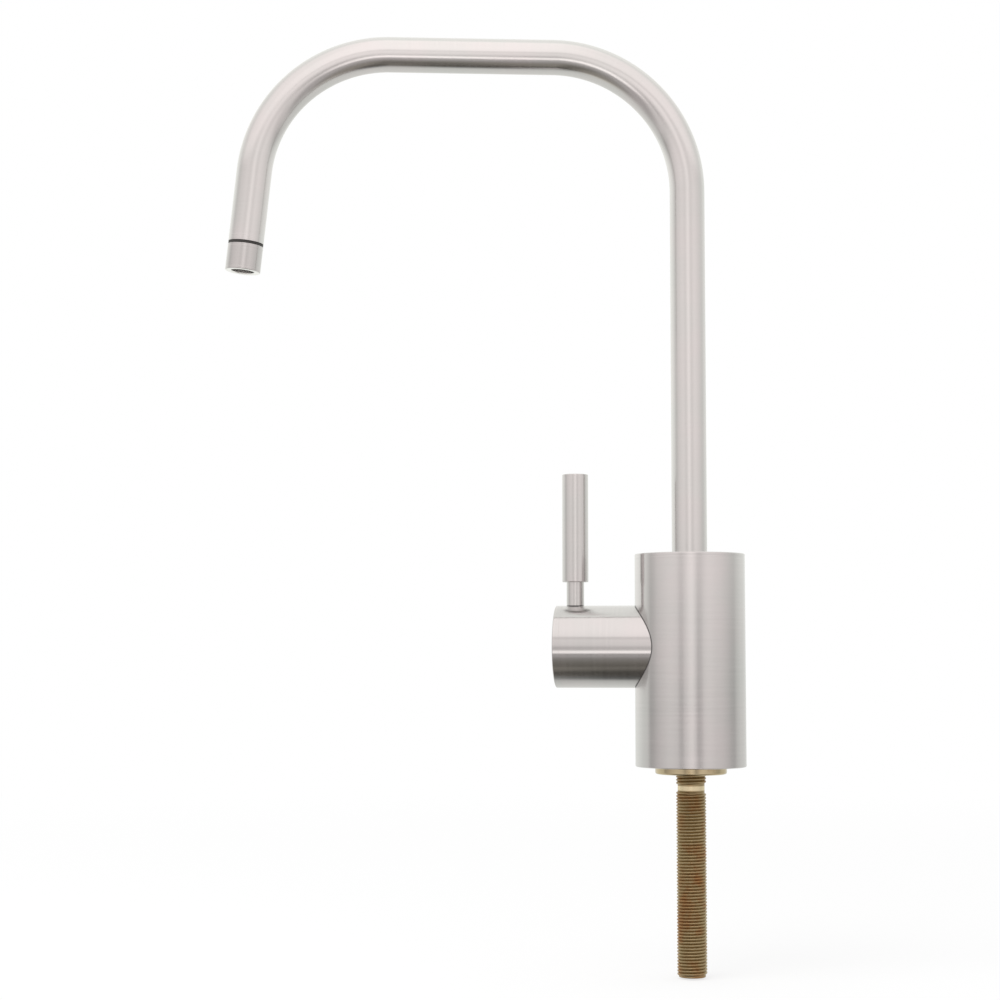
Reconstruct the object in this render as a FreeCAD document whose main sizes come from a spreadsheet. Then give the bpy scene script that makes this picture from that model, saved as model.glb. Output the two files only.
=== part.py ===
import FreeCAD, Part
import Sketcher
import os
import re
from FreeCAD import Vector

# Cold water faucet: a swivelling arched spout on a round body, with a lever barrel on the
# body's side and a threaded shank that goes down through the deck.
# Lengths are millimetres and angles are degrees. The origin lies on the body's axis at deck
# level, +Z is up, and the lever barrel points along -X.

SIZES = {
    # Body shell
    "body_diameter": 50.0,
    "body_height": 96.0,
    "body_wall": 3.0,
    "body_top_thickness": 4.0,
    "edge_bevel": 0.4,
    # Base plug and deck seal
    "flange_diameter": 32.3,
    "flange_thickness": 3.3,
    "flange_shoulder": 0.3,
    "plug_height": 13.0,
    "deck_seal_thickness": 1.5,
    "shank_socket_height": 10.0,
    # Threaded shank
    "shank_diameter": 13.45,
    "shank_spigot": 12.9,
    "shank_reach": 93.6,
    "thread_pitch": 1.411,
    "thread_depth": 0.9,
    "collar_thread_count": 3.0,
    "relief_diameter": 12.1,
    "relief_start": 8.5,
    "relief_length": 2.2,
    "water_bore": 8.0,
    # Spout tube
    "tube_diameter": 16.0,
    "tube_wall": 1.0,
    "bend_start_height": 263.3,
    "bend_radius": 62.0,
    "spout_run": 75.0,
    "outlet_turn": 84.0,
    "outlet_leg": 33.0,
    "spout_swing": 12.0,
    # Spout seat in the body
    "insert_diameter": 14.0,
    "insert_length": 12.2,
    "insert_collar": 2.0,
    "insert_spigot": 11.0,
    "spout_glide_diameter": 20.0,
    "spout_glide_length": 3.0,
    "o_ring_section": 1.8,
    "o_ring_spacing": 3.4,
    "first_o_ring_depth": 2.4,
    "snap_ring_section": 1.4,
    "snap_ring_depth": 9.6,
    "snap_ring_opening": 50.0,
    # Outlet
    "outlet_seal_thickness": 1.3,
    "outlet_ring_length": 12.0,
    "outlet_bore": 10.5,
    "outlet_bore_depth": 5.1,
    "adapter_spigot": 11.0,
    "adapter_bore": 9.0,
    "outlet_thread_diameter": 13.0,
    "stream_former_thickness": 1.6,
    "stream_hole": 2.0,
    "stream_hole_circle": 6.6,
    "outlet_screen_thickness": 0.6,
    "screen_hole": 1.2,
    "screen_hole_circle": 5.0,
    # Lever barrel
    "barrel_diameter": 37.5,
    "barrel_wall": 2.5,
    "barrel_axis_height": 54.0,
    "barrel_reach": 61.0,
    "barrel_insertion": 2.5,
    "end_cap_thickness": 3.0,
    "end_cap_spigot": 1.5,
    # Lever
    "lever_offset": 52.3,
    "neck_diameter": 8.0,
    "neck_length": 10.75,
    "grip_diameter": 12.0,
    "grip_length": 49.5,
    "stud_thread": 5.0,
    "stud_grip_depth": 12.0,
    "stud_hub_depth": 9.5,
    "stud_recess": 0.6,
    # Drive hub
    "hub_screw_room": 6.5,
    "hub_drive_length": 5.0,
    "drive_square": 7.0,
    "hub_screw_thread": 4.0,
    "hub_screw_length": 9.0,
    "hub_screw_head": 7.0,
    "hub_screw_head_height": 2.6,
    "hex_key": 2.5,
    # Cartridge
    "holder_diameter": 31.0,
    "holder_thread": 28.0,
    "holder_end_length": 7.0,
    "cartridge_diameter": 25.0,
    "cartridge_wall": 2.0,
    "cartridge_front": 4.0,
    "core_side_wall": 1.0,
    "seat_seal_thickness": 1.5,
    "disc_diameter": 20.0,
    "disc_thickness": 3.0,
    "port_diameter": 6.0,
    "port_offset": 5.5,
    "passage_gap": 3.5,
    "driver_thickness": 4.0,
    "spindle_collar": 16.0,
    "spindle_collar_length": 2.4,
    "spindle_diameter": 10.0,
    "nut_thread": 27.0,
    "nut_thickness": 6.0,
    "nut_bore": 16.0,
    "nut_slot": 4.0,
    "barrel_glide_width": 3.0,
    "barrel_glide_depth": 0.9,
    # Clearances
    "fit_gap": 0.05,
    "running_gap": 0.1,
    "seam_gap": 0.25,
    "barrel_core_gap": 0.75,
    "barrel_end_gap": 1.5,
}

document = FreeCAD.newDocument("cold_water_faucet")
sheet = document.addObject("Spreadsheet::Sheet", "sheet")
for row, (alias, value) in enumerate(SIZES.items(), start=1):
    sheet.set(f"A{row}", alias)
    sheet.set(f"B{row}", str(value))
    sheet.setAlias(f"B{row}", alias)
document.recompute()

SIZE_NAMES = re.compile(r"\b(" + "|".join(sorted(SIZES, key=len, reverse=True)) + r")\b")

# Radii and levels that several pieces share, written once in terms of the sizes above
BODY_BORE = "(body_diameter / 2 - body_wall)"
PLUG_RADIUS = f"({BODY_BORE} - fit_gap)"
WATER = "(water_bore / 2)"
SHANK = "(shank_diameter / 2)"
TUBE = "(tube_diameter / 2)"
TUBE_BORE = "(tube_diameter / 2 - tube_wall)"
BARREL = "(barrel_diameter / 2)"
BARREL_BORE = "(barrel_diameter / 2 - barrel_wall)"
INSERT = "(insert_diameter / 2)"
SOCKET = f"({INSERT} + running_gap)"
O_RING = "(o_ring_section / 2)"
SNAP_RING = "(snap_ring_section / 2)"

# Thread groove: half its width at the root and at the mouth, how far its tool passes the
# crest, and how far the first groove of the collar lies above the relief
THREAD_ROOT = "(0.06 * thread_pitch)"
THREAD_MOUTH = "(0.44 * thread_pitch)"
THREAD_OVERCUT = "(0.08 * thread_depth)"
COLLAR_LEAD = "(0.7 * thread_pitch)"

# How many holes there are in the stream former and in the screen over it
STREAM_HOLES = 6
SCREEN_HOLES = 8

CORE_TOP = "(body_height - body_top_thickness)"
SPOUT_SEAT = f"({CORE_TOP} - spout_glide_length)"
COLLAR_BOTTOM = f"({SPOUT_SEAT} + running_gap)"
TUBE_BOTTOM = f"({COLLAR_BOTTOM} + insert_collar)"
INSERT_BOTTOM = f"({COLLAR_BOTTOM} - insert_length)"
SOCKET_FLOOR = f"({INSERT_BOTTOM} - running_gap)"

# Distances along the barrel, measured outwards from the body's axis
BARREL_START = f"(sqrt((body_diameter / 2)^2 - {BARREL}^2) - barrel_insertion)"
HOLDER_SEAT = f"({BARREL_START} - barrel_end_gap)"
CORE_FLOOR = f"({INSERT} + core_side_wall)"
FIXED_DISC = f"({CORE_FLOOR} + seat_seal_thickness)"
MOVING_DISC = f"({FIXED_DISC} + disc_thickness + fit_gap)"
DRIVER = f"({MOVING_DISC} + disc_thickness)"
SPINDLE_COLLAR = f"({DRIVER} + driver_thickness)"
HOUSING_FRONT = f"({SPINDLE_COLLAR} + spindle_collar_length + running_gap)"
NUT_SEAT = f"({HOUSING_FRONT} + cartridge_front)"
HOLDER_END = f"({NUT_SEAT} + holder_end_length)"
STEM_END = f"({HOLDER_END} + barrel_core_gap)"
CAP_SEAT = "(barrel_reach - end_cap_thickness)"
HUB_END = f"({CAP_SEAT} - end_cap_spigot)"
SCREW_SEAT = f"({HUB_END} - hub_screw_room)"
HUB_START = f"({SCREW_SEAT} - hub_drive_length)"
NECK_SEAT = f"({BARREL} - stud_recess)"
GRIP_BOTTOM = f"({BARREL} + neck_length)"

# Distances along the outlet, measured outwards from the tube's end
RING_START = "outlet_seal_thickness"
RING_END = "(outlet_seal_thickness + outlet_ring_length)"
MOUTH_FLOOR = f"({RING_END} - outlet_bore_depth)"
SCREEN_SEAT = f"({MOUTH_FLOOR} - outlet_screen_thickness)"
FORMER_SEAT = f"({SCREEN_SEAT} - stream_former_thickness)"

# Where each group of pieces sits: its own axis is local Z
ON_BODY = "placement(vector(0; 0; 0); rotation(vector(0; 0; 1); 0))"
ON_SPOUT = "placement(vector(0; 0; 0); rotation(vector(0; 0; 1); spout_swing))"
ON_BARREL = "placement(vector(0; 0; barrel_axis_height); rotation(vector(0; 1; 0); -90))"
ON_LEVER = "placement(vector(-lever_offset; 0; barrel_axis_height); rotation(vector(0; 0; 1); 0))"
TUBE_END_ACROSS = (
    "(bend_radius + spout_run + bend_radius * sin(outlet_turn) + outlet_leg * cos(outlet_turn))"
)
TUBE_END_HEIGHT = (
    "(bend_start_height + bend_radius * cos(outlet_turn) - outlet_leg * sin(outlet_turn))"
)
ON_OUTLET = (
    f"{ON_SPOUT} * placement(vector(-{TUBE_END_ACROSS}; 0; {TUBE_END_HEIGHT});"
    " rotation(vector(0; 1; 0); -(90 + outlet_turn)))"
)

pieces = []


def bound(text):
    """Return the expression with each size name pointing at its cell of the sheet."""
    return SIZE_NAMES.sub(r"sheet.\1", str(text))


def measure(text):
    """Return the present value of an expression."""
    return float(sheet.evalExpression(SIZE_NAMES.sub(r"\1", str(text))))


def settle(piece, place):
    """Name the piece's place and add it to the list of sub-parts."""
    piece.setExpression("Placement", bound(place))
    pieces.append(piece)
    return piece


def start_body(label, place):
    """Start a sub-part made of sketches and features."""
    body = document.addObject("PartDesign::Body", label)
    body.Label = label
    return settle(body, place)


def start_sketch(body, name, role, offset="0"):
    """Add a sketch on one of the body's own origin planes, moved along its normal."""
    planes = [plane for plane in body.Origin.OriginFeatures if plane.Role == role]
    sketch = body.newObject("Sketcher::SketchObject", f"{body.Label}_{name}")
    sketch.AttachmentSupport = [(planes[0], "")]
    sketch.MapMode = "FlatFace"
    sketch.setExpression("AttachmentOffset.Base.z", bound(offset))
    return sketch


def hold_point(sketch, shape, end, across, up):
    """Tie one end of a sketch line or the centre of a circle to its two distances."""
    for kind, text in (("DistanceX", across), ("DistanceY", up)):
        rule = Sketcher.Constraint(kind, -1, 1, shape, end, measure(text))
        number = sketch.addConstraint(rule)
        sketch.setExpression(f"Constraints[{number}]", bound(text))


def draw_outline(sketch, corners):
    """Draw a closed outline whose corners are pairs of expressions."""
    places = [Vector(measure(across), measure(up), 0) for across, up in corners]
    lines = []
    for start, end in zip(places, places[1:] + places[:1]):
        lines.append(sketch.addGeometry(Part.LineSegment(start, end), False))
    for line, after in zip(lines, lines[1:] + lines[:1]):
        sketch.addConstraint(Sketcher.Constraint("Coincident", line, 2, after, 1))
    for line, (across, up) in zip(lines, corners):
        hold_point(sketch, line, 1, across, up)


def draw_circle(sketch, across, up, diameter):
    """Draw a circle with its centre and diameter tied to expressions."""
    centre = Vector(measure(across), measure(up), 0)
    circle = sketch.addGeometry(Part.Circle(centre, Vector(0, 0, 1), measure(diameter) / 2), False)
    hold_point(sketch, circle, 3, across, up)
    number = sketch.addConstraint(Sketcher.Constraint("Diameter", circle, measure(diameter)))
    sketch.setExpression(f"Constraints[{number}]", bound(diameter))


def draw_rectangle(sketch, width, height, across="0", up="0"):
    """Draw a rectangle centred on the given point."""
    left, right = f"{across} - {width} / 2", f"{across} + {width} / 2"
    low, high = f"{up} - {height} / 2", f"{up} + {height} / 2"
    draw_outline(sketch, [(left, low), (right, low), (right, high), (left, high)])


def turned(label, place, corners):
    """Make a piece of revolution from corners of radius and height."""
    body = start_body(label, place)
    sketch = start_sketch(body, "profile", "XZ_Plane")
    draw_outline(sketch, corners)
    turning = body.newObject("PartDesign::Revolution", f"{label}_turning")
    turning.Profile = (sketch, [""])
    turning.ReferenceAxis = (sketch, ["V_Axis"])
    turning.Angle = 360
    document.recompute()
    return body


def cut(body, name, sketch, outwards=False, depth=None):
    """Cut the sketch's shape out of the body, away from or towards the plane's normal."""
    before = body.Shape.Volume
    pocket = body.newObject("PartDesign::Pocket", f"{body.Label}_{name}_cut")
    pocket.Profile = (sketch, [""])
    pocket.Type = "ThroughAll" if depth is None else "Length"
    if depth is not None:
        pocket.setExpression("Length", bound(depth))
    pocket.Reversed = outwards
    document.recompute()
    if not body.Shape.Volume < before:
        raise RuntimeError(f"{body.Label}: the cut {name} removes nothing")
    return pocket


def repeat_round(body, feature, name, count):
    """Repeat a feature evenly about the body's local Z axis."""
    axes = [axis for axis in body.Origin.OriginFeatures if axis.Role == "Z_Axis"]
    pattern = body.newObject("PartDesign::PolarPattern", f"{body.Label}_{name}_pattern")
    pattern.Originals = [feature]
    pattern.Axis = (axes[0], [""])
    pattern.Angle = 360
    pattern.Occurrences = count
    body.Tip = pattern
    document.recompute()


def groove_corners(radius, floor_radius, centre, width):
    """Return the four corners of a square groove, from its lower edge to its upper one."""
    low = f"({centre} - {width} / 2)"
    high = f"({centre} + {width} / 2)"
    return [(radius, low), (floor_radius, low), (floor_radius, high), (radius, high)]


def ring_seal(label, place, centre_radius, section_radius, height):
    """Make an O-ring about the local Z axis."""
    ring = document.addObject("Part::Torus", label)
    ring.Label = label
    ring.setExpression("Radius1", bound(centre_radius))
    ring.setExpression("Radius2", bound(section_radius))
    shifted = f"{place} * placement(vector(0; 0; {height}); rotation(vector(0; 0; 1); 0))"
    return settle(ring, shifted)


def make_body_shell():
    """Steel shell: a turned cup, open below, with a hole for the spout and one for the barrel."""
    outer = "(body_diameter / 2)"
    hole = f"({TUBE} + seam_gap)"
    shell = turned("body_shell", ON_BODY, [
        (hole, "body_height"),
        (f"{outer} - edge_bevel", "body_height"),
        (outer, "body_height - edge_bevel"),
        (outer, "edge_bevel"),
        (f"{outer} - edge_bevel", "0"),
        (BODY_BORE, "0"),
        (BODY_BORE, CORE_TOP),
        (hole, CORE_TOP),
    ])
    side = start_sketch(shell, "side_bore", "YZ_Plane")
    draw_circle(side, "0", "barrel_axis_height", "barrel_diameter + 2 * seam_gap")
    cut(shell, "side_bore", side)


def make_base():
    """Brass plug that closes the body, its seals, and the threaded shank below it."""
    flange = "(flange_diameter / 2)"
    shoulder = f"({flange} - flange_shoulder)"
    socket = "(shank_spigot / 2 + fit_gap)"
    seal_centre = f"({WATER} + o_ring_section + {O_RING})"
    turned("base_plug", ON_BODY, [
        (socket, "-flange_thickness"),
        (f"{flange} - edge_bevel", "-flange_thickness"),
        (flange, "-flange_thickness + edge_bevel"),
        (flange, "0"),
        (shoulder, "0"),
        (shoulder, "deck_seal_thickness"),
        (PLUG_RADIUS, "deck_seal_thickness"),
        (PLUG_RADIUS, "plug_height"),
        (f"{seal_centre} + {O_RING} + fit_gap", "plug_height"),
        (f"{seal_centre} + {O_RING} + fit_gap", "plug_height - o_ring_section - fit_gap"),
        (f"{seal_centre} - {O_RING} - fit_gap", "plug_height - o_ring_section - fit_gap"),
        (f"{seal_centre} - {O_RING} - fit_gap", "plug_height"),
        (WATER, "plug_height"),
        (WATER, "shank_socket_height"),
        (socket, "shank_socket_height"),
    ])
    turned("base_seal_ring", ON_BODY, [
        (f"{shoulder} + fit_gap", "0"),
        (f"{BODY_BORE} - fit_gap", "0"),
        (f"{BODY_BORE} - fit_gap", "deck_seal_thickness"),
        (f"{shoulder} + fit_gap", "deck_seal_thickness"),
    ])
    ring_seal("core_inlet_seal", ON_BODY, seal_centre, O_RING, f"plug_height - fit_gap / 2 - {O_RING}")
    make_shank()


def make_shank():
    """Threaded brass shank with a plain relief groove under its collar threads."""
    relief = "(relief_diameter / 2)"
    relief_end = "(relief_start + relief_length)"
    bevel = "thread_depth"
    shank = turned("threaded_shank", ON_BODY, [
        (WATER, "-shank_reach"),
        (f"{SHANK} - {bevel}", "-shank_reach"),
        (SHANK, f"-shank_reach + {bevel}"),
        (SHANK, f"-{relief_end}"),
        (relief, f"-{relief_end}"),
        (relief, "-relief_start"),
        (SHANK, "-relief_start"),
        (SHANK, "-flange_thickness"),
        ("shank_spigot / 2", "-flange_thickness"),
        ("shank_spigot / 2", "shank_socket_height"),
        (WATER, "shank_socket_height"),
    ])
    collar_first = f"-relief_start + {COLLAR_LEAD}"
    cut_threads(shank, "collar", collar_first, "collar_thread_count")
    main_first = f"(-shank_reach + {bevel} + thread_pitch / 2)"
    main_count = f"floor((shank_reach - {relief_end} - {bevel}) / thread_pitch)"
    cut_threads(shank, "main", main_first, main_count)


def cut_threads(shank, name, first_height, count):
    """Cut one thread groove and repeat it upwards at the pitch."""
    past = f"{SHANK} + {THREAD_OVERCUT}"
    floor = f"{SHANK} - thread_depth"
    sketch = start_sketch(shank, f"{name}_thread", "XZ_Plane")
    draw_outline(sketch, [
        (floor, f"{first_height} - {THREAD_ROOT}"),
        (past, f"{first_height} - {THREAD_MOUTH}"),
        (past, f"{first_height} + {THREAD_MOUTH}"),
        (floor, f"{first_height} + {THREAD_ROOT}"),
    ])
    groove = shank.newObject("PartDesign::Groove", f"{shank.Label}_{name}_groove")
    groove.Profile = (sketch, [""])
    groove.ReferenceAxis = (sketch, ["V_Axis"])
    groove.Angle = 360
    document.recompute()
    pattern = shank.newObject("PartDesign::LinearPattern", f"{shank.Label}_{name}_threads")
    pattern.Originals = [groove]
    pattern.Direction = (sketch, ["V_Axis"])
    pattern.setExpression("Length", bound(f"({count} - 1) * thread_pitch"))
    pattern.setExpression("Occurrences", bound(count))
    shank.Tip = pattern
    document.recompute()


def make_valve_core():
    """Brass core inside the shell: inlet and outlet passages, cartridge bore and spout socket."""
    glide = "(spout_glide_diameter / 2 + fit_gap)"
    snap_height = f"({COLLAR_BOTTOM} - snap_ring_depth)"
    snap_floor = f"({SOCKET} + {SNAP_RING} + running_gap)"
    snap_width = "(snap_ring_section + 2 * running_gap)"
    corners = [
        (WATER, "plug_height"),
        (PLUG_RADIUS, "plug_height"),
        (PLUG_RADIUS, CORE_TOP),
        (glide, CORE_TOP),
        (glide, SPOUT_SEAT),
        (SOCKET, SPOUT_SEAT),
    ]
    corners += reversed(groove_corners(SOCKET, snap_floor, snap_height, snap_width))
    corners += [
        (SOCKET, SOCKET_FLOOR),
        (WATER, SOCKET_FLOOR),
        (WATER, "barrel_axis_height + passage_gap"),
        ("0", "barrel_axis_height + passage_gap"),
        ("0", "barrel_axis_height - passage_gap"),
        (WATER, "barrel_axis_height - passage_gap"),
    ]
    core = turned("valve_core", ON_BODY, corners)
    recess = start_sketch(core, "barrel_recess", "YZ_Plane", f"-{HOLDER_SEAT}")
    draw_circle(recess, "0", "barrel_axis_height", "barrel_diameter + 2 * barrel_core_gap")
    cut(core, "barrel_recess", recess)
    bore = start_sketch(core, "holder_bore", "YZ_Plane", f"-{CORE_FLOOR}")
    draw_circle(bore, "0", "barrel_axis_height", "holder_thread + 2 * fit_gap")
    cut(core, "holder_bore", bore)
    for name, side in (("inlet", "-"), ("outlet", "+")):
        port = start_sketch(core, f"{name}_port", "YZ_Plane")
        draw_circle(port, "0", f"barrel_axis_height {side} port_offset", "port_diameter")
        cut(core, f"{name}_port", port)


def make_cartridge_holder():
    """Brass sleeve screwed into the core, which carries the cartridge and the barrel's glides."""
    outer = "(holder_diameter / 2)"
    thread = "(holder_thread / 2)"
    bore = "(cartridge_diameter / 2 + running_gap)"
    nut = "(nut_thread / 2 + fit_gap)"
    floor = f"({outer} - barrel_glide_depth)"
    corners = [(bore, CORE_FLOOR), (thread, CORE_FLOOR), (thread, HOLDER_SEAT), (outer, HOLDER_SEAT)]
    for _, centre in glide_places():
        corners += groove_corners(outer, floor, centre, "(barrel_glide_width + 2 * fit_gap)")
    corners += [(outer, HOLDER_END), (nut, HOLDER_END), (nut, NUT_SEAT), (bore, NUT_SEAT)]
    turned("cartridge_holder", ON_BARREL, corners)


def glide_places():
    """Return the name and the centre of each glide ring between the holder and the barrel."""
    inner = f"({BARREL_START} + barrel_glide_width + barrel_glide_width / 2)"
    outer = f"({HOLDER_END} - barrel_glide_width)"
    return [("inner", inner), ("outer", outer)]


def make_barrel_glides():
    """Two plastic rings on the holder, on which the barrel turns."""
    floor = "(holder_diameter / 2 - barrel_glide_depth + fit_gap)"
    top = f"({BARREL_BORE} - fit_gap)"
    for name, centre in glide_places():
        low = f"({centre} - barrel_glide_width / 2)"
        high = f"({centre} + barrel_glide_width / 2)"
        corners = [(floor, low), (top, low), (top, high), (floor, high)]
        turned(f"barrel_glide_ring_{name}", ON_BARREL, corners)


def make_cartridge():
    """Quarter-turn ceramic cartridge: seal, two discs, housing, spindle and ring nut."""
    outer = "(cartridge_diameter / 2)"
    disc = "(disc_diameter / 2)"
    stem = "(spindle_diameter / 2)"
    collar = "(spindle_collar / 2)"
    inner = f"({outer} - cartridge_wall)"
    seal = turned("cartridge_seat_seal", ON_BARREL, [
        ("0", CORE_FLOOR), (outer, CORE_FLOOR), (outer, FIXED_DISC), ("0", FIXED_DISC),
    ])
    fixed = turned("fixed_ceramic_disc", ON_BARREL, [
        ("0", FIXED_DISC), (disc, FIXED_DISC),
        (disc, f"{FIXED_DISC} + disc_thickness"), ("0", f"{FIXED_DISC} + disc_thickness"),
    ])
    for piece in (seal, fixed):
        for name, side in (("inlet", "-"), ("outlet", "")):
            port = start_sketch(piece, f"{name}_port", "XY_Plane")
            draw_circle(port, f"{side}port_offset", "0", "port_diameter")
            cut(piece, f"{name}_port", port, outwards=True)
    moving = turned("moving_ceramic_disc", ON_BARREL, [
        ("0", MOVING_DISC), (disc, MOVING_DISC), (disc, DRIVER), ("0", DRIVER),
    ])
    slot = start_sketch(moving, "passage", "XY_Plane")
    draw_rectangle(slot, "port_diameter", "(2 * port_offset + port_diameter)")
    cut(moving, "passage", slot, outwards=True)
    turned("cartridge_housing", ON_BARREL, [
        (inner, FIXED_DISC),
        (outer, FIXED_DISC),
        (outer, NUT_SEAT),
        (f"{stem} + running_gap", NUT_SEAT),
        (f"{stem} + running_gap", HOUSING_FRONT),
        (inner, HOUSING_FRONT),
    ])
    groove_centre = f"({HOUSING_FRONT} + cartridge_front / 2)"
    groove_floor = f"({stem} + running_gap - o_ring_section - 2 * fit_gap)"
    screw = "(hub_screw_thread / 2 + fit_gap)"
    screw_end = f"({SCREW_SEAT} - hub_screw_length - running_gap)"
    spindle_end = f"({SCREW_SEAT} - running_gap)"
    corners = [("0", DRIVER), (disc, DRIVER), (disc, SPINDLE_COLLAR), (collar, SPINDLE_COLLAR)]
    corners += [(collar, f"{SPINDLE_COLLAR} + spindle_collar_length")]
    corners += [(stem, f"{SPINDLE_COLLAR} + spindle_collar_length")]
    corners += groove_corners(stem, groove_floor, groove_centre, "(o_ring_section + 2 * fit_gap)")
    corners += [(stem, STEM_END), ("0", STEM_END)]
    spindle = turned("cartridge_spindle", ON_BARREL, corners)
    square = start_sketch(spindle, "square", "XY_Plane", STEM_END)
    draw_rectangle(square, "drive_square", "drive_square")
    drive = spindle.newObject("PartDesign::Pad", "cartridge_spindle_square_drive")
    drive.Profile = (square, [""])
    drive.setExpression("Length", bound(f"{spindle_end} - {STEM_END}"))
    document.recompute()
    tapping = start_sketch(spindle, "tapping", "XY_Plane", screw_end)
    draw_circle(tapping, "0", "0", f"2 * {screw}")
    cut(spindle, "tapping", tapping, outwards=True)
    seal_centre = f"({stem} + running_gap - fit_gap - {O_RING})"
    ring_seal("spindle_o_ring", ON_BARREL, seal_centre, O_RING, groove_centre)
    nut = turned("cartridge_nut", ON_BARREL, [
        ("nut_bore / 2", NUT_SEAT),
        ("nut_thread / 2", NUT_SEAT),
        ("nut_thread / 2", f"{NUT_SEAT} + nut_thickness"),
        ("nut_bore / 2", f"{NUT_SEAT} + nut_thickness"),
    ])
    slots = start_sketch(nut, "key_slot", "XY_Plane", f"{NUT_SEAT} + nut_thickness - nut_slot / 2")
    draw_rectangle(slots, "nut_thread + nut_slot", "nut_slot")
    cut(nut, "key_slot", slots, outwards=True)


def make_barrel():
    """Steel barrel that turns in the body's side bore, with its end cap, hub and screw."""
    barrel = turned("handle_barrel", ON_BARREL, [
        (BARREL_BORE, BARREL_START), (BARREL, BARREL_START), (BARREL, CAP_SEAT), (BARREL_BORE, CAP_SEAT),
    ])
    turned("barrel_end_cap", ON_BARREL, [
        ("0", HUB_END),
        (f"{BARREL_BORE} - fit_gap", HUB_END),
        (f"{BARREL_BORE} - fit_gap", CAP_SEAT),
        (BARREL, CAP_SEAT),
        (BARREL, "barrel_reach - edge_bevel"),
        (f"{BARREL} - edge_bevel", "barrel_reach"),
        ("0", "barrel_reach"),
    ])
    head_room = "(hub_screw_head / 2 + running_gap)"
    hub = turned("drive_hub", ON_BARREL, [
        ("0", HUB_START),
        (f"{BARREL_BORE} - fit_gap", HUB_START),
        (f"{BARREL_BORE} - fit_gap", HUB_END),
        (head_room, HUB_END),
        (head_room, SCREW_SEAT),
        ("0", SCREW_SEAT),
    ])
    broach = start_sketch(hub, "broach", "XY_Plane")
    draw_rectangle(broach, "drive_square + 2 * fit_gap", "drive_square + 2 * fit_gap")
    cut(hub, "broach", broach, outwards=True)
    for piece, floor in ((barrel, "0"), (hub, f"({BARREL_BORE} - stud_hub_depth)")):
        tapping = start_sketch(piece, "stud_hole", "YZ_Plane", floor)
        draw_circle(tapping, "0", "lever_offset", "stud_thread + 2 * fit_gap")
        cut(piece, "stud_hole", tapping, outwards=True)
    spot = start_sketch(barrel, "neck_seat", "YZ_Plane", NECK_SEAT)
    draw_circle(spot, "0", "lever_offset", "neck_diameter + 2 * fit_gap")
    cut(barrel, "neck_seat", spot, outwards=True)
    thread = "(hub_screw_thread / 2)"
    head = "(hub_screw_head / 2)"
    screw = turned("hub_screw", ON_BARREL, [
        ("0", f"{SCREW_SEAT} - hub_screw_length"),
        (thread, f"{SCREW_SEAT} - hub_screw_length"),
        (thread, SCREW_SEAT),
        (head, SCREW_SEAT),
        (head, f"{SCREW_SEAT} + hub_screw_head_height"),
        ("0", f"{SCREW_SEAT} + hub_screw_head_height"),
    ])
    key = start_sketch(screw, "key", "XY_Plane", f"{SCREW_SEAT} + hub_screw_head_height / 2")
    draw_hexagon(key, "hex_key")
    cut(screw, "key", key, outwards=True)


def draw_hexagon(sketch, across_flats):
    """Draw a hexagon about the origin from its size across flats."""
    corner = f"({across_flats} / 2 / cos(30))"
    turns = (0, 60, 120, 180, 240, 300)
    draw_outline(sketch, [(f"{corner} * cos({turn})", f"{corner} * sin({turn})") for turn in turns])


def make_lever():
    """Lever: a stud screwed into the hub through the barrel, and a plain round grip on it."""
    thread = "(stud_thread / 2)"
    neck = "(neck_diameter / 2)"
    grip = "(grip_diameter / 2)"
    inner_end = f"({BARREL_BORE} - stud_hub_depth + running_gap)"
    turned("lever_stud", ON_LEVER, [
        ("0", inner_end),
        (thread, inner_end),
        (thread, NECK_SEAT),
        (neck, NECK_SEAT),
        (neck, GRIP_BOTTOM),
        (thread, GRIP_BOTTOM),
        (thread, f"{GRIP_BOTTOM} + stud_grip_depth"),
        ("0", f"{GRIP_BOTTOM} + stud_grip_depth"),
    ])
    tapped = f"({thread} + fit_gap)"
    tapped_end = f"({GRIP_BOTTOM} + stud_grip_depth + running_gap)"
    grip_end = f"({GRIP_BOTTOM} + grip_length)"
    turned("lever_grip", ON_LEVER, [
        (tapped, GRIP_BOTTOM),
        (f"{grip} - edge_bevel", GRIP_BOTTOM),
        (grip, f"{GRIP_BOTTOM} + edge_bevel"),
        (grip, f"{grip_end} - edge_bevel"),
        (f"{grip} - edge_bevel", grip_end),
        ("0", grip_end),
        ("0", tapped_end),
        (tapped, tapped_end),
    ])


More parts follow.
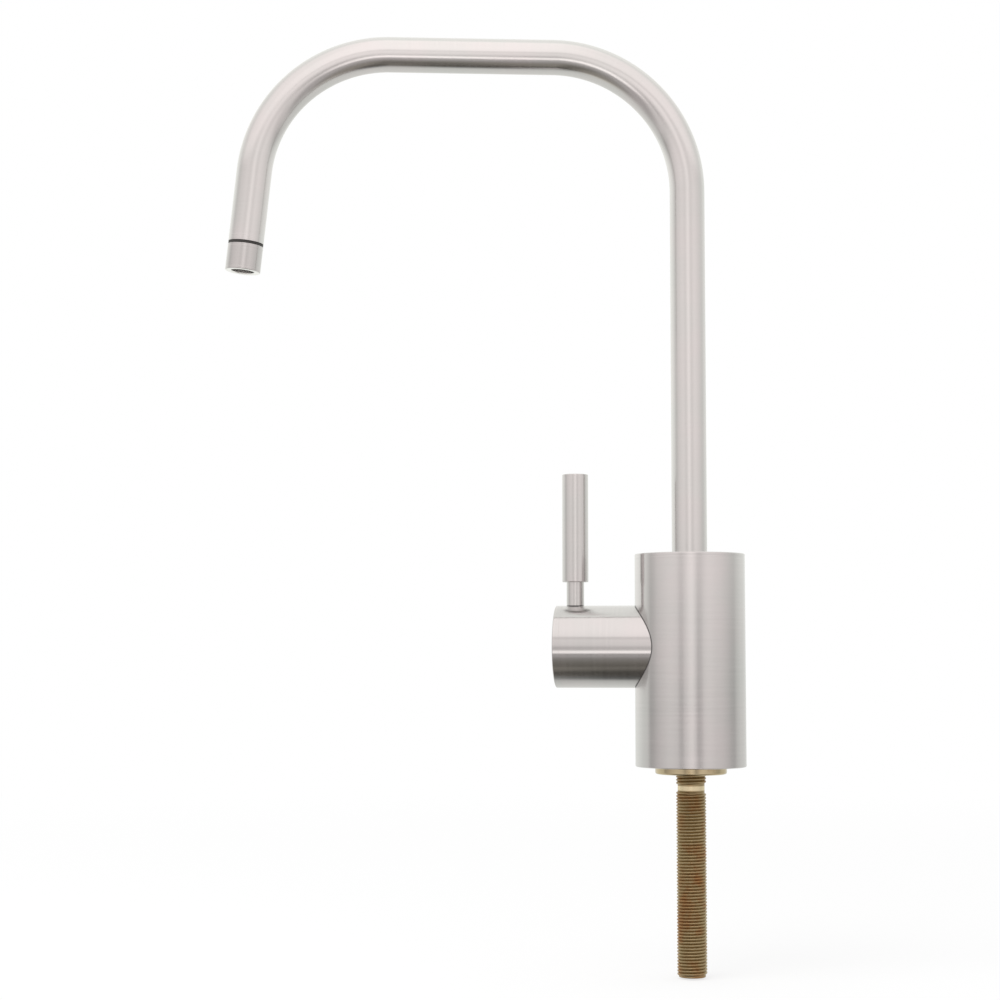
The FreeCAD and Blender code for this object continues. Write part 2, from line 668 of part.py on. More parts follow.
def make_spout_seat():
    """Brass insert in the foot of the spout, with its O-rings, snap ring and glide ring."""
    snap_height = f"({COLLAR_BOTTOM} - snap_ring_depth)"
    ring_heights = {
        "upper": f"({COLLAR_BOTTOM} - first_o_ring_depth)",
        "lower": f"({COLLAR_BOTTOM} - first_o_ring_depth - o_ring_spacing)",
    }
    snap_floor = f"({SOCKET} - {SNAP_RING} - fit_gap)"
    ring_floor = f"({SOCKET} - o_ring_section - 2 * fit_gap)"
    corners = [(WATER, INSERT_BOTTOM), (INSERT, INSERT_BOTTOM)]
    corners += groove_corners(INSERT, snap_floor, snap_height, "(snap_ring_section + 2 * fit_gap)")
    for level in ("lower", "upper"):
        width = "(o_ring_section + 2 * fit_gap)"
        corners += groove_corners(INSERT, ring_floor, ring_heights[level], width)
    corners += [
        (INSERT, COLLAR_BOTTOM),
        (TUBE, COLLAR_BOTTOM),
        (TUBE, TUBE_BOTTOM),
        (f"{TUBE_BORE} - fit_gap", TUBE_BOTTOM),
        (f"{TUBE_BORE} - fit_gap", f"{TUBE_BOTTOM} + insert_spigot"),
        (WATER, f"{TUBE_BOTTOM} + insert_spigot"),
    ]
    turned("spout_insert", ON_SPOUT, corners)
    for level, height in ring_heights.items():
        centre = f"({SOCKET} - fit_gap - {O_RING})"
        ring_seal(f"spout_o_ring_{level}", ON_SPOUT, centre, O_RING, height)
    snap = ring_seal("spout_snap_ring", ON_SPOUT, SOCKET, SNAP_RING, snap_height)
    snap.setExpression("Angle3", bound("360 - snap_ring_opening"))
    turned("spout_glide_ring", ON_BODY, [
        (f"{TUBE} + fit_gap", SPOUT_SEAT),
        ("spout_glide_diameter / 2", SPOUT_SEAT),
        ("spout_glide_diameter / 2", CORE_TOP),
        (f"{TUBE} + fit_gap", CORE_TOP),
    ])


def make_spout_tube():
    """Steel tube swept along riser, first bend, level run, second bend and outlet leg."""
    tube = start_body("spout_tube", ON_SPOUT)
    path = start_sketch(tube, "path", "XZ_Plane")
    top = "(bend_start_height + bend_radius)"
    run_end = "(bend_radius + spout_run)"
    turn_end = (
        f"-({run_end} + bend_radius * sin(outlet_turn))",
        "bend_start_height + bend_radius * cos(outlet_turn)",
    )
    stops = [
        ("0", TUBE_BOTTOM),
        ("0", "bend_start_height"),
        ("-bend_radius", top),
        (f"-{run_end}", top),
        turn_end,
        (f"-{TUBE_END_ACROSS}", TUBE_END_HEIGHT),
    ]
    points = [Vector(measure(across), measure(up), 0) for across, up in stops]
    radius = measure("bend_radius")
    middles = [
        Vector(
            measure("-bend_radius * (1 - cos(45))"),
            measure("bend_start_height + bend_radius * sin(45)"), 0,
        ),
        Vector(
            measure(f"-({run_end} + bend_radius * sin(outlet_turn / 2))"),
            measure("bend_start_height + bend_radius * cos(outlet_turn / 2)"), 0,
        ),
    ]
    riser = path.addGeometry(Part.LineSegment(points[0], points[1]), False)
    first_bend = path.addGeometry(Part.Arc(points[1], middles[0], points[2]), False)
    level_run = path.addGeometry(Part.LineSegment(points[2], points[3]), False)
    second_bend = path.addGeometry(Part.Arc(points[3], middles[1], points[4]), False)
    leg = path.addGeometry(Part.LineSegment(points[4], points[5]), False)
    for line, ends in ((riser, (0, 1)), (level_run, (2, 3)), (leg, (4, 5))):
        for end, stop in enumerate(ends, start=1):
            hold_point(path, line, end, *stops[stop])
    # The first bend is drawn from its lower end and the second from its outer end
    for bend, before, after in ((first_bend, riser, level_run), (second_bend, level_run, leg)):
        ends = bend_ends(path, bend, path.getPoint(before, 2))
        path.addConstraint(Sketcher.Constraint("Coincident", bend, ends[0], before, 2))
        path.addConstraint(Sketcher.Constraint("Coincident", bend, ends[1], after, 1))
        number = path.addConstraint(Sketcher.Constraint("Radius", bend, radius))
        path.setExpression(f"Constraints[{number}]", bound("bend_radius"))
    section = start_sketch(tube, "section", "XY_Plane", TUBE_BOTTOM)
    draw_circle(section, "0", "0", "tube_diameter")
    draw_circle(section, "0", "0", f"2 * {TUBE_BORE}")
    document.recompute()
    sweep = tube.newObject("PartDesign::AdditivePipe", "spout_tube_sweep")
    sweep.Profile = (section, [""])
    sweep.Spine = (path, [""])
    document.recompute()


def bend_ends(sketch, bend, first_point):
    """Return which ends of an arc come first and second along the path."""
    starts_there = sketch.getPoint(bend, 1).distanceToPoint(first_point) < 0.001
    return (1, 2) if starts_there else (2, 1)


def make_outlet():
    """Outlet: brass adapter in the tube's end, black seal, steel ring, stream former and screen."""
    thread = "(outlet_thread_diameter / 2)"
    bore = "(adapter_bore / 2)"
    spigot = f"({TUBE_BORE} - fit_gap)"
    turned("outlet_adapter", ON_OUTLET, [
        (bore, "-adapter_spigot"),
        (spigot, "-adapter_spigot"),
        (spigot, "0"),
        (thread, "0"),
        (thread, FORMER_SEAT),
        (bore, FORMER_SEAT),
    ])
    turned("outlet_seal_ring", ON_OUTLET, [
        (f"{thread} + fit_gap", "0"),
        (TUBE, "0"),
        (TUBE, "outlet_seal_thickness"),
        (f"{thread} + fit_gap", "outlet_seal_thickness"),
    ])
    turned("outlet_ring", ON_OUTLET, [
        (f"{thread} + fit_gap", RING_START),
        (TUBE, RING_START),
        (TUBE, f"{RING_END} - edge_bevel"),
        (f"{TUBE} - edge_bevel", RING_END),
        ("outlet_bore / 2", RING_END),
        ("outlet_bore / 2", MOUTH_FLOOR),
        (f"{thread} + fit_gap", MOUTH_FLOOR),
    ])
    former = turned("stream_former", ON_OUTLET, [
        ("0", FORMER_SEAT), (thread, FORMER_SEAT), (thread, SCREEN_SEAT), ("0", SCREEN_SEAT),
    ])
    screen = turned("outlet_screen", ON_OUTLET, [
        ("0", SCREEN_SEAT), (thread, SCREEN_SEAT), (thread, MOUTH_FLOOR), ("0", MOUTH_FLOOR),
    ])
    perforate(former, "stream_hole", "stream_hole_circle", STREAM_HOLES)
    perforate(screen, "screen_hole", "screen_hole_circle", SCREEN_HOLES)


def perforate(piece, hole, circle, count):
    """Drill one hole on a circle about the piece's axis and repeat it evenly."""
    sketch = start_sketch(piece, "hole", "XY_Plane")
    draw_circle(sketch, f"{circle} / 2", "0", hole)
    first = cut(piece, "hole", sketch, outwards=True)
    repeat_round(piece, first, "hole", count)


def check_pieces():
    """Stop if any object failed, or if any sub-part is empty, broken or in several bits."""
    document.recompute()
    for item in document.Objects:
        if "Invalid" in item.State or "Error" in item.State:
            raise RuntimeError(f"{item.Label} failed: {item.State}")
    for piece in pieces:
        shape = piece.Shape
        if shape.isNull() or not shape.isValid() or len(shape.Solids) != 1:
            raise RuntimeError(f"{piece.Label} is not one valid solid")


def write_pieces():
    """Write each sub-part to its own file, named after it."""
    os.makedirs("parts", exist_ok=True)
    for piece in pieces:
        piece.Shape.exportStep(f"parts/{piece.Label}.step")
        box = piece.Shape.BoundBox
        print(
            f"{piece.Label}: {piece.Shape.Volume:.0f} mm3,"
            f" x {box.XMin:.1f}..{box.XMax:.1f},"
            f" y {box.YMin:.1f}..{box.YMax:.1f},"
            f" z {box.ZMin:.1f}..{box.ZMax:.1f}"
        )


make_body_shell()
make_base()
make_valve_core()
make_cartridge_holder()
make_barrel_glides()
make_cartridge()
make_barrel()
make_lever()
make_spout_seat()
make_spout_tube()
make_outlet()
check_pieces()
write_pieces()
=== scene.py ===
"""Cold water faucet: surfaces, finishes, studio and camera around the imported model.

Every shape is a grid of points worked out with numpy, or a profile carried round an axis or
along a path. Sizes are millimetres and angles are degrees in the classes, and metres and
radians in the meshes. The origin lies on the body's axis at deck level and +Z is up.
"""

import logging
import math
from collections.abc import Callable, Mapping, Sequence
from dataclasses import dataclass, field
from enum import Enum

import bpy
import numpy as np
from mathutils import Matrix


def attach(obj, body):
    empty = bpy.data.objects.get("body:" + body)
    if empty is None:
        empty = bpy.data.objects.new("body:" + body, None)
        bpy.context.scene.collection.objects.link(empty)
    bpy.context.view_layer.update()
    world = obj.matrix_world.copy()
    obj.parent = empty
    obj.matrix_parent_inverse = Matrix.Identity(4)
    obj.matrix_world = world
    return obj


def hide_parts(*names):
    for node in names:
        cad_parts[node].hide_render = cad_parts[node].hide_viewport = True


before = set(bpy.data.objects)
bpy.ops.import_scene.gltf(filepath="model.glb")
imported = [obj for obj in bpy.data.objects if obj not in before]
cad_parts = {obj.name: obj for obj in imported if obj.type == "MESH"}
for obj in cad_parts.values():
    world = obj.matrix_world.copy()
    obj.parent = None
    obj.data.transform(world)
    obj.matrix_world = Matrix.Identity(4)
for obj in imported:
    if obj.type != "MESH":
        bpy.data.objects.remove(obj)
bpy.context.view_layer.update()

log = logging.getLogger("faucet")

MM = 0.001
FULL_TURN = 2 * math.pi
WELD = 1e-7  # metres: points that round to the same step are one
WELD_SHIFT = 0.123  # steps: keeps round numbers off the edge between two steps
TINY = 1e-12
UV_SCALE = 10.0  # per metre along a piece
ARC_POINTS = 7
ROUND_COLUMNS = 97
NOISE_ROUGHNESS = 0.6
WHITE = (1.0, 1.0, 1.0)
GRAIN = "grain"

Colour = tuple[float, float, float]
Corner = tuple[float, float]


class Lay(Enum):
    """Where a finish reads which way its fine lines run."""

    GRAIN = "grain"
    UPRIGHT = "upright"
    BARREL = "barrel"


# Shader maths


def both_ways(operation: str) -> tuple[Callable[..., "Term"], Callable[..., "Term"]]:
    """Make an operator's two methods, which add one Math node each.

    Args:
        operation: The node's operation.

    Returns:
        The method with the term on the operator's left, and the one with it on the right.
    """

    def straight(term: "Term", other: object) -> "Term":
        """Work with the term on the left."""
        return term.tree.maths(operation, term, other)

    def reflected(term: "Term", other: object) -> "Term":
        """Work with the term on the right."""
        return term.tree.maths(operation, other, term)

    return straight, reflected


class Term:
    """A number or vector in a node tree. Python's operators on it add Math nodes."""

    __add__, __radd__ = both_ways("ADD")
    __sub__, __rsub__ = both_ways("SUBTRACT")
    __mul__, __rmul__ = both_ways("MULTIPLY")
    __truediv__, __rtruediv__ = both_ways("DIVIDE")

    def __init__(self, tree: "Tree", socket: bpy.types.NodeSocket) -> None:
        """Wrap one output socket of the tree."""
        self.tree = tree
        self.socket = socket

    def __neg__(self) -> "Term":
        """Opposite."""
        return 0.0 - self

    def __abs__(self) -> "Term":
        """Size without sign."""
        return self.tree.maths("ABSOLUTE", self)

    def over(self, other: object) -> "Term":
        """The larger of the two numbers."""
        return self.tree.maths("MAXIMUM", self, other)

    def ramp(self, low: float, high: float) -> "Term":
        """A smooth step from 0 at low to 1 at high."""
        ends = {0: self, 1: low, 2: high, 3: 0.0, 4: 1.0}
        return self.tree.node("ShaderNodeMapRange", {"interpolation_type": "SMOOTHSTEP"}, ends)

    def others(self, *names: str) -> list["Term"]:
        """More outputs of the same node, by name."""
        return [Term(self.tree, self.socket.node.outputs[name]) for name in names]


class Tree:
    """One node tree and the few ways in which nodes are added to it."""

    def __init__(self, tree: bpy.types.NodeTree) -> None:
        """Start with an empty tree."""
        self.tree = tree
        self.tree.nodes.clear()

    def node(
        self,
        kind: str,
        settings: Mapping[str, object] | None = None,
        sockets: Mapping[int | str, object] | None = None,
        output: int | str = 0,
    ) -> Term:
        """Add a node, set it up and fill its sockets.

        Args:
            kind: The node's type.
            settings: Properties of the node, set before its sockets; "stops" fills a colour ramp
                with pairs of place and grey.
            sockets: Values or terms by socket name or number; a colour is three numbers.
            output: The output to return.

        Returns:
            The chosen output as a term.
        """
        made = self.tree.nodes.new(kind)
        for name, value in (settings or {}).items():
            if name == "stops":
                self.fill_ramp(made, value)
            else:
                setattr(made, name, value)
        for key, value in (sockets or {}).items():
            socket = made.inputs[key]
            if isinstance(value, Term):
                self.tree.links.new(value.socket, socket)
            else:
                socket.default_value = (*value, 1.0) if socket.type == "RGBA" else value
        outputs = made.outputs
        return Term(self, outputs[output]) if len(outputs) else Term(self, made.inputs[0])

    @staticmethod
    def fill_ramp(made: bpy.types.Node, stops: Sequence[Corner]) -> None:
        """Give a colour ramp its stops.

        Args:
            made: The ramp's node.
            stops: Pairs of place and grey.
        """
        elements = made.color_ramp.elements
        while len(elements) < len(stops):
            elements.new(0.5)
        for element, (place, grey) in zip(elements, stops):
            element.position = place
            element.color = (grey, grey, grey, 1.0)

    def maths(self, operation: str, left: object, right: object = 0.0) -> Term:
        """One Math node on one or two numbers."""
        return self.node("ShaderNodeMath", {"operation": operation}, {0: left, 1: right})

    def vectors(self, operation: str, sockets: Mapping[int | str, object], output: int = 0) -> Term:
        """One Vector Math node: output 0 is its vector, and 1 its number."""
        return self.node("ShaderNodeVectorMath", {"operation": operation}, sockets, output)

    def scaled(self, vector: Term, scale: Sequence[float]) -> Term:
        """Multiply a vector by three numbers."""
        return self.vectors("MULTIPLY", {0: vector, 1: tuple(scale)})

    def shade(self, colour: object, amount: Term) -> Term:
        """Darken or lighten a colour by a number."""
        return self.vectors("SCALE", {0: colour, "Scale": amount})

    def blend(self, amount: Term, first: object, second: object) -> Term:
        """Mix two colours."""
        sockets = {0: amount, 6: first, 7: second}
        return self.node("ShaderNodeMix", {"data_type": "RGBA"}, sockets, 2)

    def noise(self, vector: Term, scale: float = 1.0, detail: float = 2.0) -> Term:
        """Soft noise between 0 and 1."""
        sockets = {"Vector": vector, "Scale": scale, "Detail": detail, "Roughness": NOISE_ROUGHNESS}
        return self.node("ShaderNodeTexNoise", {"noise_dimensions": "3D"}, sockets)

    def bump(self, height: Term, depth: float) -> Term:
        """Turn a height of 0 to 1, depth metres tall, into a normal."""
        sockets = {"Strength": 1.0, "Distance": depth, "Height": height}
        return self.node("ShaderNodeBump", None, sockets)

    def window(self, spot: Term, band: Corner, fade: float = 0.2) -> Term:
        """1 where the third coordinate lies in a band, and 0 well outside it.

        Args:
            spot: The coordinates.
            band: The band's lower and upper end in millimetres.
            fade: How far each end is softened, as a share of half the band.

        Returns:
            The share.
        """
        low, high = (end * MM for end in band)
        middle, half = (low + high) / 2, (high - low) / 2
        third = self.node("ShaderNodeSeparateXYZ", None, {0: spot}, 2)
        return 1.0 - abs(third - middle).ramp(half * (1 - fade), half * (1 + fade))

    def spot(self) -> Term:
        """The object's own coordinates."""
        return self.node("ShaderNodeTexCoord", output="Object")

    def spun(self, angles: Colour) -> Term:
        """The object's coordinates turned by degrees about X, Y and Z."""
        turn = tuple(math.radians(angle) for angle in angles)
        return self.node("ShaderNodeMapping", None, {"Vector": self.spot(), "Rotation": turn})

    def place(self, lay: Lay) -> Term:
        """The coordinates that a finish follows: two round the piece, and the third along it.

        Args:
            lay: Where they are read.

        Returns:
            The coordinates.
        """
        if lay is Lay.GRAIN:
            return self.node("ShaderNodeAttribute", {"attribute_name": GRAIN}, output="Vector")
        return self.spun((0.0, 90.0, 0.0)) if lay is Lay.BARREL else self.spot()


def new_material(name: str) -> tuple[bpy.types.Material, Tree]:
    """Make an empty material.

    Args:
        name: The material's name.

    Returns:
        The material and its tree.
    """
    material = bpy.data.materials.new(name)
    material.use_nodes = True
    return material, Tree(material.node_tree)


def close_material(tree: Tree, surface: Term) -> None:
    """Send the shader to the material's output."""
    tree.node("ShaderNodeOutputMaterial", None, {"Surface": surface})


# Finishes


@dataclass(frozen=True)
class Finish:
    """A procedural finish: what goes into the sockets of one Principled shader."""

    def sockets(self, tree: Tree, spot: Term) -> dict[str, object]:
        """Values and terms by socket name, which each kind of finish works out."""
        raise NotImplementedError

    def material(self, name: str, lay: Lay) -> bpy.types.Material:
        """Make the material.

        Args:
            name: The material's name.
            lay: Where the coordinates are read.

        Returns:
            The material.
        """
        material, tree = new_material(name)
        sockets = self.sockets(tree, tree.place(lay))
        close_material(tree, tree.node("ShaderNodeBsdfPrincipled", None, sockets))
        return material


@dataclass(frozen=True)
class BrushedSteel(Finish):
    """Steel turned and brushed round the piece: fine lines lie across its length.

    The foot is a band of heights where a joint's shadow is painted into the colour. The
    saddle is the height of the barrel's axis and the radii about it between which that painted
    shadow ends, on the left. The lip is a band given a paler colour: a painted highlight.
    """

    colour: Colour = (0.627, 0.61, 0.604)
    roughness: float = 0.2
    anisotropy: float = 0.85
    turn: float = 0.25
    fine_lines: float = 6500.0
    broad_lines: float = 1300.0
    fine_share: float = 0.6
    broad_share: float = 0.7
    drift: float = 55.0
    clouds: float = 38.0
    cloud_edge: Corner = (0.3, 0.7)
    cloud_tone: float = 0.05
    tone: float = 0.10
    rough_lines: float = 0.10
    depth: float = 4e-6
    warm: Colour = (1.01, 0.995, 1.0)
    cool: Colour = (0.99, 1.004, 1.0)
    turned_edges: tuple[Corner, ...] = ()
    edge_gain: float = 4.0
    # painted highlight: a band given a paler colour, so the edge reads brighter
    lip: Corner | None = None
    lip_highlight_colour: Colour = (0.93, 0.92, 0.90)
    foot: Corner | None = None
    foot_shadow: float = 0.72
    saddle: tuple[float, float, float] | None = None
    saddle_shadow: float = 0.7
    saddle_side: Corner = (-6.0, 0.0)

    def painted_joint_shadow(self, tree: Tree) -> Term | float:
        """Painted shadow along the piece's joints: 1 away from them, low where their shadow falls.

        Args:
            tree: The material's tree.

        Returns:
            The brightness.
        """
        shade = 1.0
        if self.foot:
            # painted shadow: darkens the colour in the foot band, where the joint shades the piece
            shade = 1.0 - self.foot_shadow * tree.window(tree.spot(), self.foot)
        if self.saddle:
            spot = tree.spot()
            height, near, far = (value * MM for value in self.saddle)
            ends = {0: tree.scaled(spot, (0.0, 1.0, 1.0)), 1: (0.0, 0.0, height)}
            reach = tree.vectors("DISTANCE", ends, 1)
            across = tree.node("ShaderNodeSeparateXYZ", None, {0: spot})
            left = 1.0 - across.ramp(*(side * MM for side in self.saddle_side))
            # painted shadow: darkens the body's colour round the barrel's hole, on its left side
            shade = 1.0 - self.saddle_shadow * left * (1.0 - reach.ramp(near, far))
        return shade

    def sockets(self, tree: Tree, spot: Term) -> dict[str, object]:
        """Fine and broad lines and soft clouds, in tone, roughness and bump, with the painted joint
        shadows and the lip's painted highlight in the colour.

        Args:
            tree: The material's tree.
            spot: The coordinates that the lines follow.

        Returns:
            Values and terms by socket name.
        """
        wide = self.drift * 0.5
        fine = tree.noise(tree.scaled(spot, (self.drift, self.drift, self.fine_lines)))
        broad = tree.noise(tree.scaled(spot, (wide, wide, self.broad_lines)), detail=3.0)
        cloud = tree.noise(spot, self.clouds)
        lines = (fine - 0.5) * self.fine_share + (broad - 0.5) * self.broad_share
        for band in self.turned_edges:
            lines = lines * (1.0 + self.edge_gain * tree.window(spot, band))
        patchy = self.cloud_tone * (cloud - 0.5)
        # the tone carries the painted joint shadows into the colour
        tone = (1.0 + self.tone * lines + patchy) * self.painted_joint_shadow(tree)
        tints = (tuple(np.array(self.colour) * tint) for tint in (self.cool, self.warm))
        colour = tree.blend(cloud.ramp(*self.cloud_edge), *tints)
        # painted highlight: paler colour over the lip band
        if self.lip:
            colour = tree.blend(tree.window(spot, self.lip), colour, self.lip_highlight_colour)
        return {
            "Base Color": tree.shade(colour, tone),
            "Metallic": 1.0,
            "Roughness": self.roughness + self.rough_lines * lines + patchy,
            "Anisotropic": self.anisotropy,
            "Anisotropic Rotation": self.turn,
            "Normal": tree.bump(fine * 0.5 + broad * 0.5, self.depth),
        }


@dataclass(frozen=True)
class Brass(Finish):
    """Turned or cut brass, clean or dulled by handling and cutting oil."""

    colour: Colour = (0.66, 0.53, 0.31)
    stain: Colour = (0.40, 0.27, 0.13)
    stain_share: float = 0.25
    stain_edge: Corner = (0.62, 0.72)
    roughness: float = 0.28
    anisotropy: float = 0.0
    turn: float = 0.25
    lines: float = 2600.0
    tone: float = 0.16
    rough_lines: float = 0.12
    rough_stain: float = 0.15
    drift: float = 60.0
    patch: float = 210.0
    depth: float = 6e-6
    clean: Corner | None = None
    clean_colour: Colour = (0.88, 0.72, 0.47)

    def sockets(self, tree: Tree, spot: Term) -> dict[str, object]:
        """Turned lines and blotches of stain, and clean metal in one band of heights.

        Args:
            tree: The material's tree.
            spot: The coordinates that the lines follow.

        Returns:
            Values and terms by socket name.
        """
        low, high = self.stain_edge
        lines = tree.noise(tree.scaled(spot, (self.drift, self.drift, self.lines)), detail=3.0)
        blotch = tree.noise(spot, self.patch, 4.0).ramp(low - self.stain_share * 0.5, high)
        dull = blotch * self.stain_share * 2.0
        colour = tree.blend(dull, self.colour, self.stain)
        if self.clean:
            colour = tree.blend(tree.window(tree.spot(), self.clean), colour, self.clean_colour)
        rough = self.roughness + self.rough_lines * (lines - 0.5) + self.rough_stain * dull
        return {
            "Base Color": tree.shade(colour, 1.0 + self.tone * (lines - 0.5)),
            "Metallic": 1.0,
            "Roughness": rough,
            "Anisotropic": self.anisotropy,
            "Anisotropic Rotation": self.turn,
            "Normal": tree.bump(lines, self.depth),
        }


@dataclass(frozen=True)
class Moulded(Finish):
    """Rubber, plastic or lapped ceramic: a dense surface with a fine, even grain."""

    colour: Colour
    roughness: float
    grain: float = 2600.0
    rough_grain: float = 0.12
    depth: float = 8e-6
    clouds: float = 140.0
    mottle: float = 0.08

    def sockets(self, tree: Tree, spot: Term) -> dict[str, object]:
        """Fine grain in roughness and bump, and a faint mottle in the colour.

        Args:
            tree: The material's tree.
            spot: The coordinates that the grain follows.

        Returns:
            Values and terms by socket name.
        """
        grain = tree.noise(spot, self.grain, 3.0)
        cloud = tree.noise(spot, self.clouds)
        return {
            "Base Color": tree.shade(self.colour, 1.0 + self.mottle * (cloud - 0.5)),
            "Roughness": self.roughness + self.rough_grain * (grain - 0.5),
            "Normal": tree.bump(grain, self.depth),
        }


FINISHES: dict[str, Finish] = {
    "body_steel": BrushedSteel(
        colour=(0.652, 0.635, 0.631), roughness=0.16, anisotropy=0.6,
        # saddle: painted shadow on the body round the barrel's joint
        turned_edges=((93.2, 95.5),), saddle=(54.0, 19.26, 19.65),
    ),
    "barrel_steel": BrushedSteel(colour=(0.602, 0.586, 0.582), turn=0.0),
    "lever_steel": BrushedSteel(
        # foot: painted shadow at the neck's foot, where it meets the barrel
        colour=(0.645, 0.628, 0.622), fine_lines=5200.0, foot=(71.9, 72.85)
    ),
    "tube_steel": BrushedSteel(
        colour=(0.662, 0.644, 0.638), roughness=0.21, anisotropy=0.0, tone=0.07,
        turned_edges=((465.6, 468.2),),
    ),
    "ring_steel": BrushedSteel(
        colour=(0.575, 0.555, 0.551), anisotropy=0.7, broad_lines=1500.0,
        # lip: painted highlight round the outlet ring's mouth
        turned_edges=((1.7, 3.4), (11.6, 13.0)), lip=(13.35, 17.2),
    ),
    "screen_steel": BrushedSteel(colour=(0.45, 0.44, 0.43), roughness=0.4),
    "spring_steel": BrushedSteel(colour=(0.50, 0.49, 0.48), roughness=0.3),
    "bright_brass": Brass(
        colour=(0.58, 0.482, 0.313), roughness=0.11, anisotropy=0.5, lines=1500.0
    ),
    "shank_brass": Brass(
        colour=(0.402, 0.314, 0.179), stain=(0.383, 0.19, 0.072), stain_share=0.4, roughness=0.36,
        patch=120.0, clean=(-10.6, -8.6), clean_colour=(0.842, 0.72, 0.482),
    ),
    "core_brass": Brass(colour=(0.62, 0.50, 0.28), stain_share=0.1),
    "seal_rubber": Moulded((0.030, 0.027, 0.025), 0.55),
    "glide_plastic": Moulded((0.75, 0.74, 0.70), 0.45),
    "disc_ceramic": Moulded((0.85, 0.84, 0.80), 0.12, depth=2e-6, mottle=0.03),
}


def finish_material(slot: str, lay: Lay) -> bpy.types.Material:
    """The material of one of the record's slots, made once for each lay.

    Args:
        slot: The slot's name.
        lay: Where the finish reads its direction.

    Returns:
        The material.
    """
    name = f"{slot}_{lay.value}"
    return bpy.data.materials.get(name) or FINISHES[slot].material(name, lay)


# Surfaces


def grid(x: object, y: object, z: object) -> np.ndarray:
    """Put three grids of coordinates together, spread to one shape."""
    return np.stack(np.broadcast_arrays(x, y, z), axis=-1)


def round_angles(columns: int) -> np.ndarray:
    """Angles of a full turn, with the first column repeated as the last."""
    return np.linspace(0.0, FULL_TURN, columns)


@dataclass(frozen=True)
class Patch:
    """A smooth grid of surface: rows by columns by three.

    The grain of a point is its place as if the piece were straight: two numbers round the
    piece, and the distance along its outline as the third.
    """

    points: np.ndarray
    normals: np.ndarray
    grain: np.ndarray


@dataclass(frozen=True)
class Place:
    """A piece's own axes: its local Z lies along its length."""

    origin: tuple[float, float, float] = (0.0, 0.0, 0.0)
    across: tuple[float, float, float] = (1.0, 0.0, 0.0)
    along: tuple[float, float, float] = (0.0, 0.0, 1.0)

    def put(self, patch: Patch) -> Patch:
        """Carry a patch from local millimetres to its place in metres.

        Each point is the origin plus its coordinates times the local X, Y and Z axes.

        Args:
            patch: The patch.

        Returns:
            The patch in its place.
        """
        across, along = np.array(self.across), np.array(self.along)
        turn = np.stack([across, np.cross(along, across), along])
        points = (patch.points @ turn + np.array(self.origin)) * MM
        return Patch(points, patch.normals @ turn, patch.grain * MM)


def round_outline(
    corners: Sequence[Corner], radii: Mapping[int, float], closed: bool
) -> list[tuple[np.ndarray, np.ndarray]]:
    """Divide an outline into smooth runs, with the chosen corners rounded.

    A rounded corner is the arc that touches both its sides: its centre lies inside the turn at
    the radius from each side, and the normal turns evenly from one side's to the other's.

    Args:
        corners: Radius and height of each corner, with the solid on the left of the way round.
        radii: The rounding radius by corner number; other corners stay sharp.
        closed: Whether the last corner joins the first.

    Returns:
        Runs of points and normals in the plane of radius and height.
    """
    shape = np.array(corners, float)
    starts, ends, arcs = shape.copy(), np.roll(shape, -1, axis=0), {}
    ways = ends - shape
    ways = ways / np.maximum(np.linalg.norm(ways, axis=1, keepdims=True), TINY)
    for corner, radius in radii.items():
        before, after = ways[corner - 1], ways[corner]
        turn = math.atan2(before[0] * after[1] - before[1] * after[0], before @ after)
        reach = radius * math.tan(abs(turn) / 2)
        first = np.array([before[1], -before[0]])
        side = math.copysign(1.0, turn)
        centre = shape[corner] - before * reach - first * radius * side
        steps = np.linspace(0.0, turn, ARC_POINTS)
        cosine, sine = np.cos(steps), np.sin(steps)
        normals = np.stack(
            [first[0] * cosine - first[1] * sine, first[0] * sine + first[1] * cosine], axis=1
        )
        arcs[corner] = (centre + normals * radius * side, normals)
        ends[corner - 1] = shape[corner] - before * reach
        starts[corner] = shape[corner] + after * reach
    runs = []
    for side in range(len(shape) if closed else len(shape) - 1):
        if side in arcs:
            runs.append(arcs[side])
        normal = np.array([ways[side][1], -ways[side][0]])
        runs.append((np.stack([starts[side], ends[side]]), np.stack([normal, normal])))
    return runs


def turned(
    corners: Sequence[Corner],
    radii: Mapping[int, float] | None = None,
    closed: bool = True,
    angles: np.ndarray | None = None,
    start: float = 0.0,
) -> list[Patch]:
    """Carry an outline round the local Z axis.

    A point at radius r, height h and angle a is (r cos a, r sin a, h), and its grain keeps the
    first two numbers and has the distance along the outline as its third.

    Args:
        corners: The outline, as round_outline takes it.
        radii: The rounding radius by corner number.
        closed: Whether the outline is closed.
        angles: The angles of the columns; an even full turn if not given.
        start: The outline distance at the first corner.

    Returns:
        One patch for each smooth run of the outline.
    """
    angles = round_angles(ROUND_COLUMNS) if angles is None else angles
    cosine, sine = np.cos(angles), np.sin(angles)
    patches, travelled = [], start
    for points, normals in round_outline(corners, radii or {}, closed):
        steps = np.linalg.norm(np.diff(points, axis=0), axis=1)
        distance = travelled + np.concatenate([[0.0], np.cumsum(steps)])
        travelled = distance[-1]
        (radius, height), (out, up) = points.T[..., None], normals.T[..., None]
        x, y = radius * cosine, radius * sine
        facing = grid(out * cosine, out * sine, up)
        patches.append(Patch(grid(x, y, height), facing, grid(x, y, distance[:, None])))
    return patches


